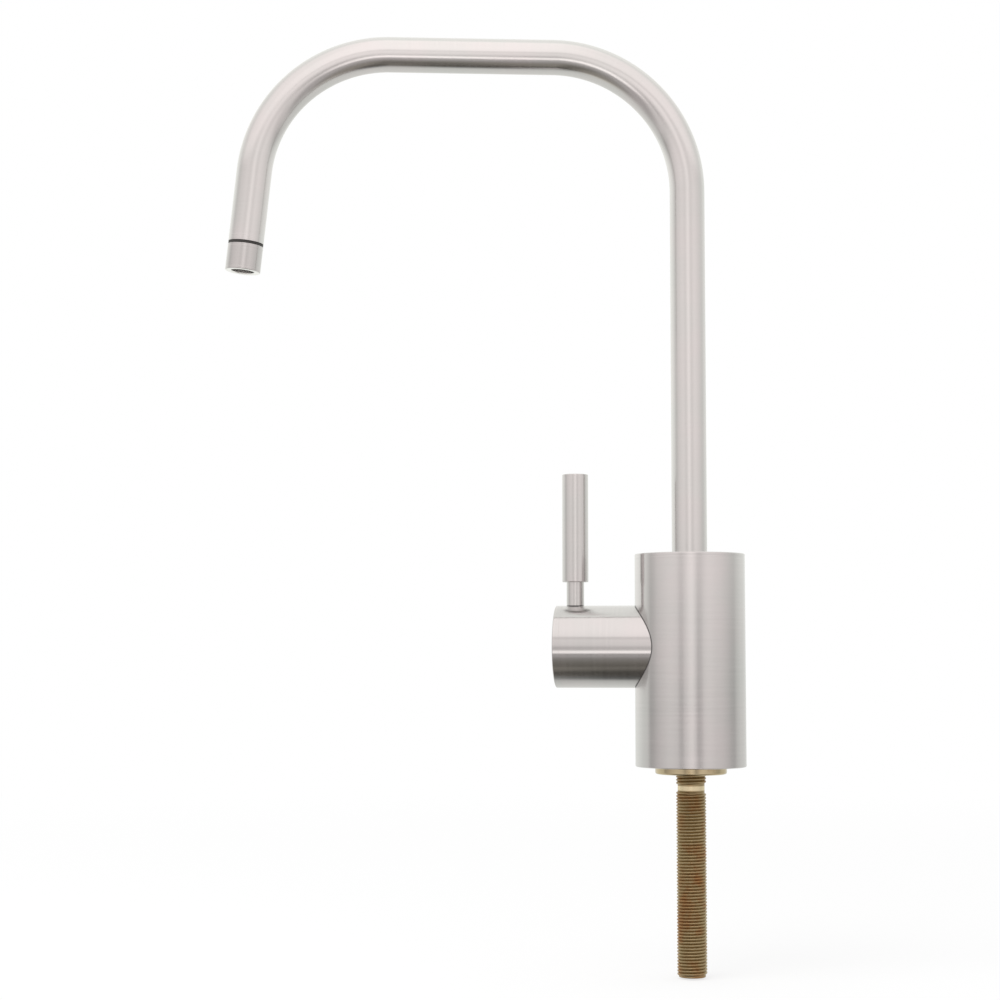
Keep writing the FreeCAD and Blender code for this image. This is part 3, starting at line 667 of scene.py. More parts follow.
class Skin:
    """A piece's surface, put together from patches and made one closed mesh."""

    def __init__(self, name: str) -> None:
        """Start an empty piece."""
        self.name = name
        self.patches: list[Patch] = []

    def add(self, patches: Sequence[Patch], place: Place = Place()) -> "Skin":
        """Put patches in place and add them."""
        self.patches += [place.put(patch) for patch in patches]
        return self

    def quads(self, points: np.ndarray, normals: np.ndarray) -> tuple[np.ndarray, np.ndarray]:
        """Lay out every four-sided face, each patch facing its normals.

        Args:
            points: The points of all patches.
            normals: Their normals.

        Returns:
            The faces' corner numbers, and the points' UVs: round the piece and along it.
        """
        faces, flats, start = [], [], 0
        for patch in self.patches:
            rows, columns = patch.points.shape[:2]
            number = start + np.arange(rows * columns).reshape(rows, columns)
            corners = np.stack(
                [number[:-1, :-1], number[1:, :-1], number[1:, 1:], number[:-1, 1:]], axis=2
            ).reshape(-1, 4)
            spot = points[corners]
            across = np.cross(spot[:, 2] - spot[:, 0], spot[:, 3] - spot[:, 1])
            facing = np.sum(across * normals[corners].sum(axis=1))
            faces.append(corners if facing > 0 else corners[:, ::-1])
            start += rows * columns
            u = np.broadcast_to(np.linspace(0.0, 1.0, columns), (rows, columns))
            flats.append(np.stack([u, patch.grain[..., 2] * UV_SCALE], axis=2).reshape(-1, 2))
        return np.concatenate(faces), np.concatenate(flats)

    def mesh(self) -> bpy.types.Mesh:
        """Weld the patches and write the mesh, with its grain, UVs and exact normals.

        Points that fall on the same tenth of a micrometre are one. A face that loses a corner
        at a pole is three-sided.

        Returns:
            The mesh.
        """
        points, normals, grain = (
            np.concatenate([getattr(patch, part).reshape(-1, 3) for patch in self.patches])
            for part in ("points", "normals", "grain")
        )
        quads, flats = self.quads(points, normals)
        keys = np.round(points / WELD + WELD_SHIFT).astype(np.int64)
        _, first, welded = np.unique(keys, axis=0, return_index=True, return_inverse=True)
        welded = welded.reshape(-1)
        meets = welded[quads] == np.roll(welded[quads], -1, axis=1)
        lost = meets.sum(axis=1)
        groups = [quads[lost == 0]]
        for side in range(4):
            chosen = quads[(lost == 1) & meets[:, side]]
            groups.append(np.delete(chosen, (side + 1) % 4, axis=1))
        corners = np.concatenate([group.reshape(-1) for group in groups])
        sizes = np.concatenate([np.full(len(group), group.shape[1]) for group in groups])
        mesh = bpy.data.meshes.new(self.name)
        mesh.vertices.add(len(first))
        mesh.vertices.foreach_set("co", points[first].astype(np.float32).ravel())
        mesh.loops.add(len(corners))
        mesh.loops.foreach_set("vertex_index", welded[corners].astype(np.int32))
        mesh.polygons.add(len(sizes))
        mesh.polygons.foreach_set("loop_start", (np.cumsum(sizes) - sizes).astype(np.int32))
        mesh.update(calc_edges=True)
        layer = mesh.attributes.new(GRAIN, "FLOAT_VECTOR", "CORNER")
        layer.data.foreach_set("vector", grain[corners].astype(np.float32).ravel())
        unwrapped = mesh.uv_layers.new(name="UVMap")
        unwrapped.data.foreach_set("uv", flats[corners].astype(np.float32).ravel())
        mesh.normals_split_custom_set(normals[corners].tolist())
        return mesh

    def piece(self, body: str, node: str, slot: str) -> bpy.types.Object:
        """Make the object that stands for a CAD node.

        Args:
            body: The CAD body that it moves with.
            node: The CAD node that it replaces.
            slot: The record's material slot.

        Returns:
            The object.
        """
        mesh = self.mesh()
        mesh.materials.append(finish_material(slot, Lay.GRAIN))
        made = in_scene(self.name, mesh)
        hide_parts(node)
        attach(made, body)
        log.info("%s: %d faces, for %s on %s", self.name, len(mesh.polygons), node, body)
        return made


def in_scene(name: str, data: bpy.types.ID) -> bpy.types.Object:
    """Make an object of a mesh, lamp or camera.

    Args:
        name: The object's name.
        data: What it shows.

    Returns:
        The object, which is in the scene.
    """
    made = bpy.data.objects.new(name, data)
    bpy.context.scene.collection.objects.link(made)
    return made


# Sub-assemblies


@dataclass(frozen=True)
class Body:
    """Round steel body with the barrel's saddle-shaped hole, on its brass flange.

    The groove in the flange's plug is its inner and outer radius and its floor's height.
    """

    radius: float = 25.0
    inner_radius: float = 22.0
    height: float = 96.0
    core_top: float = 92.0
    spout_hole: float = 8.25
    spout_edge: float = 0.15
    edge: float = 0.4
    barrel_hole: float = 19.0
    barrel_height: float = 54.0
    span: float = 80.0
    columns: int = 65
    hole_rows: int = 15
    hole_gather: float = 1.25
    flange_radius: float = 16.15
    flange_thickness: float = 3.3
    flange_shoulder: float = 15.85
    flange_edges: Corner = (0.8, 0.12)
    seal_thickness: float = 1.5
    plug_radius: float = 21.95
    plug_height: float = 13.0
    water_radius: float = 4.0
    socket_radius: float = 6.5
    socket_height: float = 10.0
    groove: tuple[float, float, float] = (5.75, 7.65, 11.15)

    def column_angles(self) -> tuple[np.ndarray, np.ndarray]:
        """Angles from -X of the columns over the hole, and of those round the back."""
        span, count = math.radians(self.span), self.columns
        return np.linspace(-span, span, count), np.linspace(span, FULL_TURN - span, count)

    def hole_angles(self) -> np.ndarray:
        """Angles round the barrel's hole, one for each point of the frame round it.

        Returns:
            The angles, which grow or shrink steadily all the way round.
        """
        front, _ = self.column_angles()
        heights = np.linspace(self.edge, self.height - self.edge, self.columns)
        across, up = self.frame_points(front, heights)
        wide = math.asin(self.barrel_hole / self.radius)
        turn = np.arctan2((up - self.barrel_height) / self.barrel_hole, across / wide)
        return np.unwrap(turn)

    @staticmethod
    def frame_points(columns: np.ndarray, heights: np.ndarray) -> tuple[np.ndarray, np.ndarray]:
        """Walk round the rectangle of columns by heights, from its lower right corner and back.

        Args:
            columns: The angles of the columns.
            heights: The heights of the rows.

        Returns:
            The angle and the height of each point.
        """
        right, left = (np.full(len(heights) - 1, columns[end]) for end in (-1, 0))
        top, bottom = (np.full(len(columns) - 1, heights[end]) for end in (-1, 0))
        across = np.concatenate([columns[-1:], right, columns[::-1][1:], left, columns[1:]])
        up = np.concatenate([heights, top, heights[::-1][1:], bottom])
        return across, up

    def wall(self, radius: float, low: float, high: float, outward: float) -> list[Patch]:
        """Cylinder wall with the barrel's hole in its left side.

        Round the hole, each row runs from the hole's edge to the rectangle about it: a point is
        the mean, weighted by t, of the edge point and the frame point, both unrolled. The edge
        lies where the bore y = -h cos a, z = c + h sin a meets the wall, at sin(angle) = h cos a
        over the wall's radius.

        Args:
            radius: The wall's radius.
            low: The height of its lower edge.
            high: The height of its upper edge.
            outward: 1 if it faces away from the axis, -1 if towards it.

        Returns:
            The patch round the hole and the patch round the back.
        """
        front, back = self.column_angles()
        heights = np.linspace(low, high, self.columns)
        across, up = self.frame_points(front, heights)
        turn = self.hole_angles()
        edge_across = np.arcsin(self.barrel_hole * np.cos(turn) / radius)
        edge_up = self.barrel_height + self.barrel_hole * np.sin(turn)
        share = (np.linspace(0.0, 1.0, self.hole_rows) ** self.hole_gather)[:, None]
        angle = edge_across * (1 - share) + across * share
        height = edge_up * (1 - share) + up * share
        sides = ((angle, height), np.meshgrid(back, heights))
        return [self.wall_patch(radius, *side, outward) for side in sides]

    @staticmethod
    def wall_patch(radius: float, angle: np.ndarray, height: np.ndarray, outward: float) -> Patch:
        """Roll angles from -X and heights onto a cylinder: (-r cos a, -r sin a, h).

        Args:
            radius: The cylinder's radius.
            angle: The points' angles.
            height: Their heights.
            outward: 1 if it faces away from the axis, -1 if towards it.

        Returns:
            The patch.
        """
        x, y = -radius * np.cos(angle), -radius * np.sin(angle)
        points = grid(x, y, height)
        return Patch(points, grid(x, y, 0.0) / radius * outward, points)

    def bore(self) -> Patch:
        """The barrel's hole through the wall, from the outer saddle curve to the inner one.

        A point at angle a round a hole of radius h is y = -h cos a, z = c + h sin a, and lies on
        the wall of radius r at x = -sqrt(r r - y y).

        Returns:
            The patch.
        """
        turn = self.hole_angles()
        y, up = -self.barrel_hole * np.cos(turn), self.barrel_hole * np.sin(turn)
        x = np.stack([-np.sqrt(r**2 - y**2) for r in (self.radius, self.inner_radius)])
        points = grid(x, y, self.barrel_height + up)
        return Patch(points, grid(0 * x, -y, -up) / self.barrel_hole, grid(y, up, x))

    def shell(self) -> bpy.types.Object:
        """Steel shell: pierced outer and inner walls, top plate and lower rim.

        Returns:
            The piece.
        """
        front, back = self.column_angles()
        angles = np.concatenate([front, back[1:]]) + math.pi
        edge, rim = self.edge, self.radius - self.edge
        top = turned(
            [(self.radius, self.height - 2 * edge), (self.radius, self.height),
             (self.spout_hole, self.height), (self.spout_hole, self.core_top),
             (self.inner_radius, self.core_top)],
            {1: edge, 2: self.spout_edge}, closed=False, angles=angles,
            start=self.height - 2 * edge,
        )[1:]
        low = turned(
            [(self.inner_radius, 0.0), (self.radius, 0.0), (self.radius, 2 * edge)],
            {1: edge}, closed=False, angles=angles, start=-rim + self.inner_radius,
        )[:-1]
        skin = Skin("body")
        skin.add(self.wall(self.radius, edge, self.height - edge, 1.0))
        skin.add(self.wall(self.inner_radius, 0.0, self.core_top, -1.0))
        skin.add([self.bore()]).add(top).add(low)
        return skin.piece("root", "body_shell", "body_steel")

    def flange(self) -> bpy.types.Object:
        """Brass plug: the flange below the body and the part inside it.

        Returns:
            The piece.
        """
        near, far, floor = self.groove
        corners = [
            (self.socket_radius, -self.flange_thickness),
            (self.flange_radius, -self.flange_thickness), (self.flange_radius, 0.0),
            (self.flange_shoulder, 0.0), (self.flange_shoulder, self.seal_thickness),
            (self.plug_radius, self.seal_thickness), (self.plug_radius, self.plug_height),
            (far, self.plug_height), (far, floor), (near, floor), (near, self.plug_height),
            (self.water_radius, self.plug_height), (self.water_radius, self.socket_height),
            (self.socket_radius, self.socket_height),
        ]
        lower, upper = self.flange_edges
        skin = Skin("flange").add(turned(corners, {1: lower, 2: upper}))
        return skin.piece("root", "base_plug", "bright_brass")

    def build(self) -> list[bpy.types.Object]:
        """Build the shell and the flange."""
        return [self.shell(), self.flange()]


@dataclass(frozen=True)
class Shank:
    """Threaded brass shank: a plain core with true helical ridges wound on it.

    The ends of the main and the collar thread are the gaps left below and above it, and the
    share of a turn over which it fades.
    """

    crest: float = 6.725
    depth: float = 0.68
    pitch: float = 1.411
    reach: float = 93.6
    relief_radius: float = 6.05
    relief: tuple[float, float] = (8.5, 10.7)
    collar_top: float = 3.3
    spigot_radius: float = 6.45
    top: float = 10.0
    bore: float = 4.0
    steps: int = 48
    foot_edges: Corner = (0.3, 0.2)
    main_ends: tuple[float, float, float] = (0.6, 0.3, 0.5)
    collar_ends: tuple[float, float, float] = (0.4, 0.2, 0.25)
    flank: float = 0.54
    crest_half: float = 0.11
    crest_ease: Corner = (0.22, 0.10)
    sunk: float = 0.02
    rooted: float = 0.3

    def core(self) -> list[Patch]:
        """The core at the thread's root, with the plain groove under the collar threads.

        Returns:
            Its patches.
        """
        root = self.crest - self.depth
        start, end = self.relief
        corners = [
            (self.bore, -self.reach), (root, -self.reach), (root, -end),
            (self.relief_radius, -end), (self.relief_radius, -start), (root, -start),
            (root, -self.collar_top), (self.spigot_radius, -self.collar_top),
            (self.spigot_radius, self.top), (self.bore, self.top),
        ]
        inner, outer = self.foot_edges
        return turned(corners, {0: inner, 1: outer}, angles=round_angles(self.steps * 2 + 1))

    def section(self) -> np.ndarray:
        """The ridge's outline: a V with a narrow rounded crest, closed inside the core.

        Returns:
            Pairs of height and radius.
        """
        root = self.crest - self.depth
        ease, drop = self.crest_ease
        upper = [
            (self.crest_half, self.crest), (ease, self.crest - drop), (self.flank, root - self.sunk)
        ]
        lower = [(-height, radius) for height, radius in reversed(upper)]
        return np.array([*lower, *upper, (0.0, root - self.rooted)])

    def ridge(self, low: float, high: float, fade: float) -> list[Patch]:
        """One ridge wound from the low end to the high end.

        At turn angle a the ridge's middle is at height low + pitch a / full turn. Its section is
        drawn in towards a point inside the core over the first and last part of its length.

        Args:
            low: The height of its lower end.
            high: The height of its upper end.
            fade: The share of a turn over which it grows and dies away.

        Returns:
            One patch for each side of the section.
        """
        turns = (high - low) / self.pitch
        angle = np.linspace(0.0, FULL_TURN * turns, int(turns * self.steps) + 1)[:, None]
        grown = np.clip(np.minimum(angle, angle[-1] - angle) / (FULL_TURN * fade), 0.0, 1.0)
        cosine, sine = np.cos(angle), np.sin(angle)
        section, patches = self.section(), []
        inner = section[-1, 1]
        for first, second in zip(section, np.roll(section, -1, axis=0)):
            side = np.stack([first, second])
            radius = inner + (side[:, 1] - inner) * grown
            height = low + self.pitch * (angle / FULL_TURN + side[:, 0] * grown)
            slope = second - first
            lean = np.array([slope[0] * self.pitch, -slope[1]])
            lean = lean / np.linalg.norm(lean)
            points = grid(radius * cosine, radius * sine, height)
            normals = grid(lean[0] * cosine, lean[0] * sine, lean[1] + 0 * radius)
            patches.append(Patch(points, normals, points))
        return patches

    def build(self) -> list[bpy.types.Object]:
        """Build the shank as one piece, with the main thread and the collar's.

        Returns:
            The piece.
        """
        start, end = self.relief
        skin = Skin("shank").add(self.core())
        low, high, fade = self.main_ends
        skin.add(self.ridge(-self.reach + low, -end - high, fade))
        low, high, fade = self.collar_ends
        skin.add(self.ridge(-start + low, -self.collar_top - high, fade))
        return [skin.piece("root", "threaded_shank", "shank_brass")]


@dataclass(frozen=True)
class Lever:
    """Steel barrel on the body's side with its end cap, neck and round grip."""

    axis_height: float = 54.0
    barrel_radius: float = 18.75
    barrel_bore: float = 16.25
    barrel_columns: int = 129
    start: float = 14.03
    seam: float = 58.0
    seam_edge: float = 0.03
    end: float = 61.0
    end_edge: float = 0.4
    cap_spigot: float = 1.5
    offset: float = 52.3
    thread_radius: float = 2.5
    neck_radius: float = 4.0
    neck_seat: float = 18.15
    neck_columns: int = 65
    stud_foot: float = 6.85
    stud_depth: float = 12.0
    clearance: float = 0.05
    tip_clearance: float = 0.1
    grip_start: float = 29.5
    grip_end: float = 79.0
    grip_radius: float = 6.0
    grip_edges: Corner = (0.35, 0.4)
    grip_columns: int = 81

    def on_barrel(self) -> Place:
        """The barrel's own axis runs along -X."""
        return Place((0.0, 0.0, self.axis_height), (0.0, 0.0, 1.0), (-1.0, 0.0, 0.0))

    def on_lever(self) -> Place:
        """The lever's own axis stands up from the barrel's."""
        return Place((-self.offset, 0.0, self.axis_height))

    @staticmethod
    def brush_round(piece: bpy.types.Object, far_off: float = 10.0) -> bpy.types.Object:
        """Aim the wide side of the gloss along X, by moving the texture space's centre far off.

        Args:
            piece: The barrel or its cap.
            far_off: How far the centre goes, in metres.

        Returns:
            The same piece.
        """
        piece.data.use_auto_texspace = False
        piece.data.texspace_location = (0.0, far_off, 0.0)
        piece.data.texspace_size = (1.0, 1.0, 1.0)
        return piece

    def barrel(self) -> bpy.types.Object:
        """The barrel, with a hair-fine bevel at the cap's seam.

        Returns:
            The piece.
        """
        corners = [
            (self.barrel_bore, self.start), (self.barrel_radius, self.start),
            (self.barrel_radius, self.seam), (self.barrel_bore, self.seam),
        ]
        patches = turned(corners, {2: self.seam_edge}, angles=round_angles(self.barrel_columns))
        skin = Skin("barrel").add(patches, self.on_barrel())
        return self.brush_round(skin.piece("lever", "handle_barrel", "barrel_steel"))

    def cap(self) -> bpy.types.Object:
        """The flat end cap and the spigot that holds it in the barrel.

        Returns:
            The piece.
        """
        bore = self.barrel_bore - self.clearance
        corners = [
            (0.0, self.seam - self.cap_spigot), (bore, self.seam - self.cap_spigot),
            (bore, self.seam), (self.barrel_radius, self.seam),
            (self.barrel_radius, self.end), (0.0, self.end),
        ]
        patches = turned(
            corners, {3: self.seam_edge, 4: self.end_edge}, closed=False,
            angles=round_angles(self.barrel_columns),
        )
        skin = Skin("barrel_cap").add(patches, self.on_barrel())
        return self.brush_round(skin.piece("lever", "barrel_end_cap", "barrel_steel"))

    def neck(self) -> bpy.types.Object:
        """The plain neck between barrel and grip, on its threaded stud.

        Returns:
            The piece.
        """
        top = self.grip_start + self.stud_depth
        corners = [
            (0.0, self.stud_foot), (self.thread_radius, self.stud_foot),
            (self.thread_radius, self.neck_seat), (self.neck_radius, self.neck_seat),
            (self.neck_radius, self.grip_start), (self.thread_radius, self.grip_start),
            (self.thread_radius, top), (0.0, top),
        ]
        patches = turned(corners, closed=False, angles=round_angles(self.neck_columns))
        skin = Skin("lever_neck").add(patches, self.on_lever())
        return skin.piece("lever", "lever_stud", "lever_steel")

    def grip(self) -> bpy.types.Object:
        """The round grip with eased edges, tapped for the stud.

        Returns:
            The piece.
        """
        hole = self.thread_radius + self.clearance
        tapped = self.grip_start + self.stud_depth + self.tip_clearance
        corners = [
            (hole, self.grip_start), (self.grip_radius, self.grip_start),
            (self.grip_radius, self.grip_end), (0.0, self.grip_end),
            (0.0, tapped), (hole, tapped),
        ]
        lower, upper = self.grip_edges
        patches = turned(corners, {1: lower, 2: upper}, angles=round_angles(self.grip_columns))
        skin = Skin("lever_grip_sleeve").add(patches, self.on_lever())
        return skin.piece("lever", "lever_grip", "lever_steel")

    def build(self) -> list[bpy.types.Object]:
        """Build the barrel, cap, neck and grip."""
        return [self.barrel(), self.cap(), self.neck(), self.grip()]


@dataclass(frozen=True)
class Spout:
    """Arched steel tube with its black seal and outlet ring."""

    radius: float = 8.0
    wall: float = 1.0
    bottom: float = 91.1
    bend_start: float = 263.3
    bend_radius: float = 62.0
    bend_rows: tuple[int, int] = (61, 57)
    run: float = 75.0
    outlet_turn: float = 84.0
    leg: float = 33.0
    swing: float = 12.0
    seal_thickness: float = 1.3
    seal_inset: float = 0.1
    seal_edge: float = 0.25
    ring_end: float = 13.3
    ring_bore: float = 5.25
    ring_edges: tuple[float, float, float] = (0.15, 0.4, 0.5)
    mouth_floor: float = 8.2
    thread_clearance: float = 6.55

    def path(self) -> tuple[np.ndarray, np.ndarray, np.ndarray]:
        """Distance out, height and heading of points along the tube's middle line.

        The line is straight up, a quarter turn, level, a turn down by the outlet's angle, and
        straight again. On a bend of radius R from heading h, the point is the bend's centre plus
        R times the outward direction of its heading.

        Returns:
            Distances out from the riser, heights, and headings from straight up.
        """
        radius, quarter = self.bend_radius, math.pi / 2
        end = quarter + math.radians(self.outlet_turn)
        first = np.linspace(0.0, quarter, self.bend_rows[0])
        second = np.linspace(quarter, end, self.bend_rows[1])
        middle = (self.bottom + self.bend_start) / 2
        out = [0.0, 0.0, *radius * (1 - np.cos(first))]
        out += [*(radius + self.run + radius * np.sin(second - quarter))]
        up = [self.bottom, middle, *(self.bend_start + radius * np.sin(first))]
        up += [*(self.bend_start + radius * np.cos(second - quarter))]
        out.append(out[-1] + self.leg * math.sin(end))
        up.append(up[-1] + self.leg * math.cos(end))
        return np.array(out), np.array(up), np.array([0.0, 0.0, *first, *second, end])

    def axes(self) -> tuple[np.ndarray, np.ndarray, np.ndarray]:
        """The way in which the arch reaches, straight up, and the way across both.

        Returns:
            Three unit vectors.
        """
        swing = math.radians(self.swing)
        level = np.array([-math.cos(swing), -math.sin(swing), 0.0])
        upright = np.array([0.0, 0.0, 1.0])
        return level, upright, np.cross(level, upright)

    def wall_patch(self, radius: float, outward: float) -> Patch:
        """Carry a circle along the middle line.

        A point at angle a is the line's point plus the radius times (cos a across + sin a up),
        where across stands square to the bend's plane and up is square to line and across.

        Args:
            radius: The circle's radius.
            outward: 1 for the outside of the tube, -1 for the inside.

        Returns:
            The patch in body millimetres.
        """
        out, up, heading = (line[:, None] for line in self.path())
        level, upright, side = self.axes()
        middle = out * level + up * upright
        lift = (np.cos(heading) * level - np.sin(heading) * upright)[:, None, :]
        angle = round_angles(ROUND_COLUMNS)
        cosine, sine = np.cos(angle), np.sin(angle)
        ring = cosine[None, :, None] * side + sine[None, :, None] * lift
        steps = np.linalg.norm(np.diff(middle, axis=0), axis=1)
        travelled = np.concatenate([[0.0], np.cumsum(steps)])[:, None]
        grain = grid(radius * cosine, radius * sine, travelled)
        return Patch(middle[:, None, :] + radius * ring, ring * outward, grain)

    def tube(self) -> bpy.types.Object:
        """The tube: outside, inside and the two flat ends between them.

        Returns:
            The piece.
        """
        outer = self.wall_patch(self.radius, 1.0)
        inner = self.wall_patch(self.radius - self.wall, -1.0)
        ends = []
        for row, beside in ((0, 1), (-1, -2)):
            points = np.stack([outer.points[row], inner.points[row]])
            grain = np.stack([outer.grain[row], inner.grain[row]])
            ahead = outer.points[row].mean(axis=0) - outer.points[beside].mean(axis=0)
            facing = np.broadcast_to(ahead / np.linalg.norm(ahead), points.shape)
            ends.append(Patch(points, facing, grain))
        skin = Skin("spout_arch").add([outer, inner, *ends])
        return skin.piece("spout", "spout_tube", "tube_steel")

    def on_outlet(self) -> Place:
        """The outlet's own axis runs on from the tube's end.

        Returns:
            The place.
        """
        out, up, heading = (line[-1] for line in self.path())
        level, upright, side = self.axes()
        along = level * math.sin(heading) + upright * math.cos(heading)
        return Place(tuple(level * out + upright * up), tuple(side), tuple(along))

    def seal(self) -> bpy.types.Object:
        """Black seal pinched between the tube's end and the outlet ring.

        Returns:
            The piece.
        """
        outer = self.radius - self.seal_inset
        corners = [
            (self.thread_clearance, 0.0), (outer, 0.0),
            (outer, self.seal_thickness), (self.thread_clearance, self.seal_thickness),
        ]
        patches = turned(corners, {1: self.seal_edge, 2: self.seal_edge})
        skin = Skin("outlet_seal_band").add(patches, self.on_outlet())
        return skin.piece("spout", "outlet_seal_ring", "seal_rubber")

    def ring(self) -> bpy.types.Object:
        """Outlet ring with eased edges round its mouth.

        Returns:
            The piece.
        """
        corners = [
            (self.thread_clearance, self.seal_thickness), (self.radius, self.seal_thickness),
            (self.radius, self.ring_end), (self.ring_bore, self.ring_end),
            (self.ring_bore, self.mouth_floor), (self.thread_clearance, self.mouth_floor),
        ]
        patches = turned(corners, dict(enumerate(self.ring_edges, start=1)))
        skin = Skin("outlet_collar").add(patches, self.on_outlet())
        return skin.piece("spout", "outlet_ring", "ring_steel")

    def build(self) -> list[bpy.types.Object]:
        """Build the tube, seal and ring."""
        return [self.tube(), self.seal(), self.ring()]


def dress_nodes() -> None:
    """Give every CAD node the procedural finish of its slot, the hidden ones too."""
    for name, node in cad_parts.items():
        lay = Lay.BARREL if name.startswith(("cartridge", "drive", "hub")) else Lay.UPRIGHT
        for slot in node.material_slots:
            slot.material = finish_material(slot.material.name, lay)
        log.info("%s: dressed as it is", name)


# Studio


@dataclass(frozen=True)
class Camera:
    """The camera at the photograph's viewing angle."""

    spot: tuple[float, float, float] = (53.6, -933.0, 51.4)
    pitch: float = 4.26
    heading: float = 8.585
    lens: float = 73.64
    sensor: float = 36.0
    clip: Corner = (0.01, 50.0)

    def build(self) -> bpy.types.Object:
        """Place the camera and make it the scene's.

        Returns:
            The camera.
        """
        data = bpy.data.cameras.new("camera")
        data.lens, data.sensor_width = self.lens, self.sensor
        data.clip_start, data.clip_end = self.clip
        camera = in_scene("camera", data)
        camera.location = tuple(value * MM for value in self.spot)
        camera.rotation_euler = (math.radians(90 + self.pitch), 0.0, math.radians(self.heading))
        bpy.context.scene.camera = camera
        return camera


@dataclass(frozen=True)
class Studio:
    """Pale floor, plain world, one soft lamp, and the light tent that the metal reflects.

    The tent's tables are pairs of degrees and brightness. Elevations run from -90 to 90, and
    azimuths from -180 to 180 with 0 in front. The low notch is the azimuth where nothing is
    lifted, and the angles from it between which the lift grows.
    """

    floor_height: float = -94.4
    floor_radius: float = 6000.0
    floor_corners: int = 64
    floor_colour: float = 0.95
    floor_share: float = 0.74
    floor_fade: Corner = (250.0, 1300.0)
    world_level: float = 0.85
    tent_radius: float = 1630.0
    tent_middle: float = -35.0
    tent_centre: float = 54.0
    tent_floor: float = -280.0
    tent_heading: float = -4.52
    tent_peak: float = 2.0
    tent_grid: tuple[int, int] = (25, 65)
    front_tint: Colour = (1.048, 1.0, 0.98)
    side_tint: Colour = (0.99, 1.0, 0.962)
    low_tint: Colour = (1.075, 1.0, 0.88)
    low_from: Corner = (-24.0, -50.0)
    side_from: Corner = (60.0, 120.0)
    high_from: Corner = (-3.0, 7.0)
    lamp_spot: tuple[float, float, float] = (-700.0, -900.0, 1500.0)
    lamp_size: float = 1400.0
    lamp_power: float = 12.0
    front: tuple[Corner, ...] = (
        (-90, 0.05), (-70, 0.06), (-68, 0.1), (-64.5, 0.115), (-61.5, 0.145), (-59, 0.163),
        (-57, 0.138), (-53, 0.12), (-48, 0.15), (-44, 0.183), (-38, 0.24), (-34.5, 0.28),
        (-31.5, 0.33), (-29.5, 0.39), (-26.5, 0.545), (-21.5, 0.5), (-19.2, 0.5), (-10.4, 1.12),
        (-7.8, 1.23), (-5, 1.26), (0.3, 1.24), (3, 1.1), (5.7, 0.985), (8.8, 0.97), (17, 1.03),
        (22.5, 0.89), (25.5, 0.82), (27, 1.22), (48, 1.295), (90, 1.34),
    )
    back: tuple[Corner, ...] = (
        (-90, 0.08), (-83, 0.09), (-79, 0.16), (-75.5, 0.36), (-72, 0.6), (-67, 0.69),
        (-61, 0.75), (-55, 0.79), (-48, 0.82), (-40, 0.84), (-31, 0.85), (-17, 0.86), (0, 0.93),
        (20, 1), (30, 1.05), (50, 1.09), (58, 1.14), (64, 1.13), (70, 1.12), (80, 1.12),
        (90, 1.25),
    )
    strip: tuple[Corner, ...] = (
        (-90, 0), (-19.2, 0), (-17.9, 1.288), (-12, 0.873), (-10.4, 0), (90, 0),
    )
    strip_reach: Corner = (30.0, 18.0)
    shoulder: tuple[Corner, ...] = (
        (-90, 0), (22, 0), (38, 0.115), (64, 0.115), (82, 0), (90, 0),
    )
    shoulder_turn: tuple[Corner, ...] = ((0, 0), (18, 0), (38, 1), (105, 1), (140, 0), (180, 0))
    low_lift: tuple[Corner, ...] = (
        (-90, 0.2), (-75, 0.55), (-62, 1.15), (-50, 1.2), (-44, 0.7), (-36, 0.3), (-28, 0.1),
        (-22, 0.08), (-18, 0), (90, 0),
    )
    low_notch: tuple[float, float, float] = (-10.5, 8.0, 20.0)
    low_ring: tuple[Corner, ...] = (
        (-180, 0.95), (-141, 1.03), (-125, 0.95), (-112.6, 0.85), (-102, 0.76), (-92.4, 0.445),
        (-83.7, 0.44), (-75.5, 0.485), (-60.5, 0.55), (-46.5, 0.62), (-38, 0.62), (-27, 0.57),
        (-21, 0.405), (-15.5, 0.4), (-12.5, 0.53), (-8.5, 0.57), (-2.4, 0.665), (3.7, 0.7),
        (9.7, 0.57), (15.9, 0.36), (22, 0.44), (28, 0.62), (34.3, 0.65), (41, 0.648),
        (53.7, 0.587), (67.6, 0.562), (82.9, 0.525), (91.3, 0.49), (100.5, 0.5), (110.8, 0.725),
        (123, 0.84), (180, 0.95),
    )
    high_ring: tuple[Corner, ...] = (
        (-180, 1.05), (-140, 1.16), (-121, 1.07), (-109, 1.025), (-99, 0.855), (-89.5, 0.715),
        (-80.5, 0.77), (-72, 0.865), (-57, 0.916), (-43, 0.965), (-33, 0.99), (-26, 0.965),
        (-20, 0.9), (-14.5, 0.895), (-8, 0.988), (-2, 1.11), (5, 1.16), (11.5, 1.04),
        (17.8, 0.905), (24.5, 0.885), (31.5, 0.957), (38, 1.006), (47, 0.998), (59.5, 0.95),
        (68, 0.916), (77, 0.88), (93, 0.845), (103, 0.835), (114, 0.92), (126.5, 1), (145, 1.01),
        (180, 1.05),
    )
    ring_hold: tuple[Corner, ...] = (
        (-90, 0), (-35, 0), (-18, 0.35), (-11, 0.5), (-9.5, 0.8), (-7, 1), (14, 1), (25, 0.7),
        (40, 0.35), (65, 0), (90, 0),
    )

    def level(self, tree: Tree, place: Term, pairs: Sequence[Corner]) -> Term:
        """Brightness at a place between 0 and 1, from pairs of degrees and brightness.

        Args:
            tree: The node tree.
            place: The angle's place between the first and the last pair's.
            pairs: Degrees, evenly carried onto 0 to 1, and the brightness there.

        Returns:
            The brightness.
        """
        first, last = pairs[0][0], pairs[-1][0]
        stops = [((a - first) / (last - first), value / self.tent_peak) for a, value in pairs]
        return tree.node("ShaderNodeValToRGB", {"stops": stops}, {0: place}) * self.tent_peak

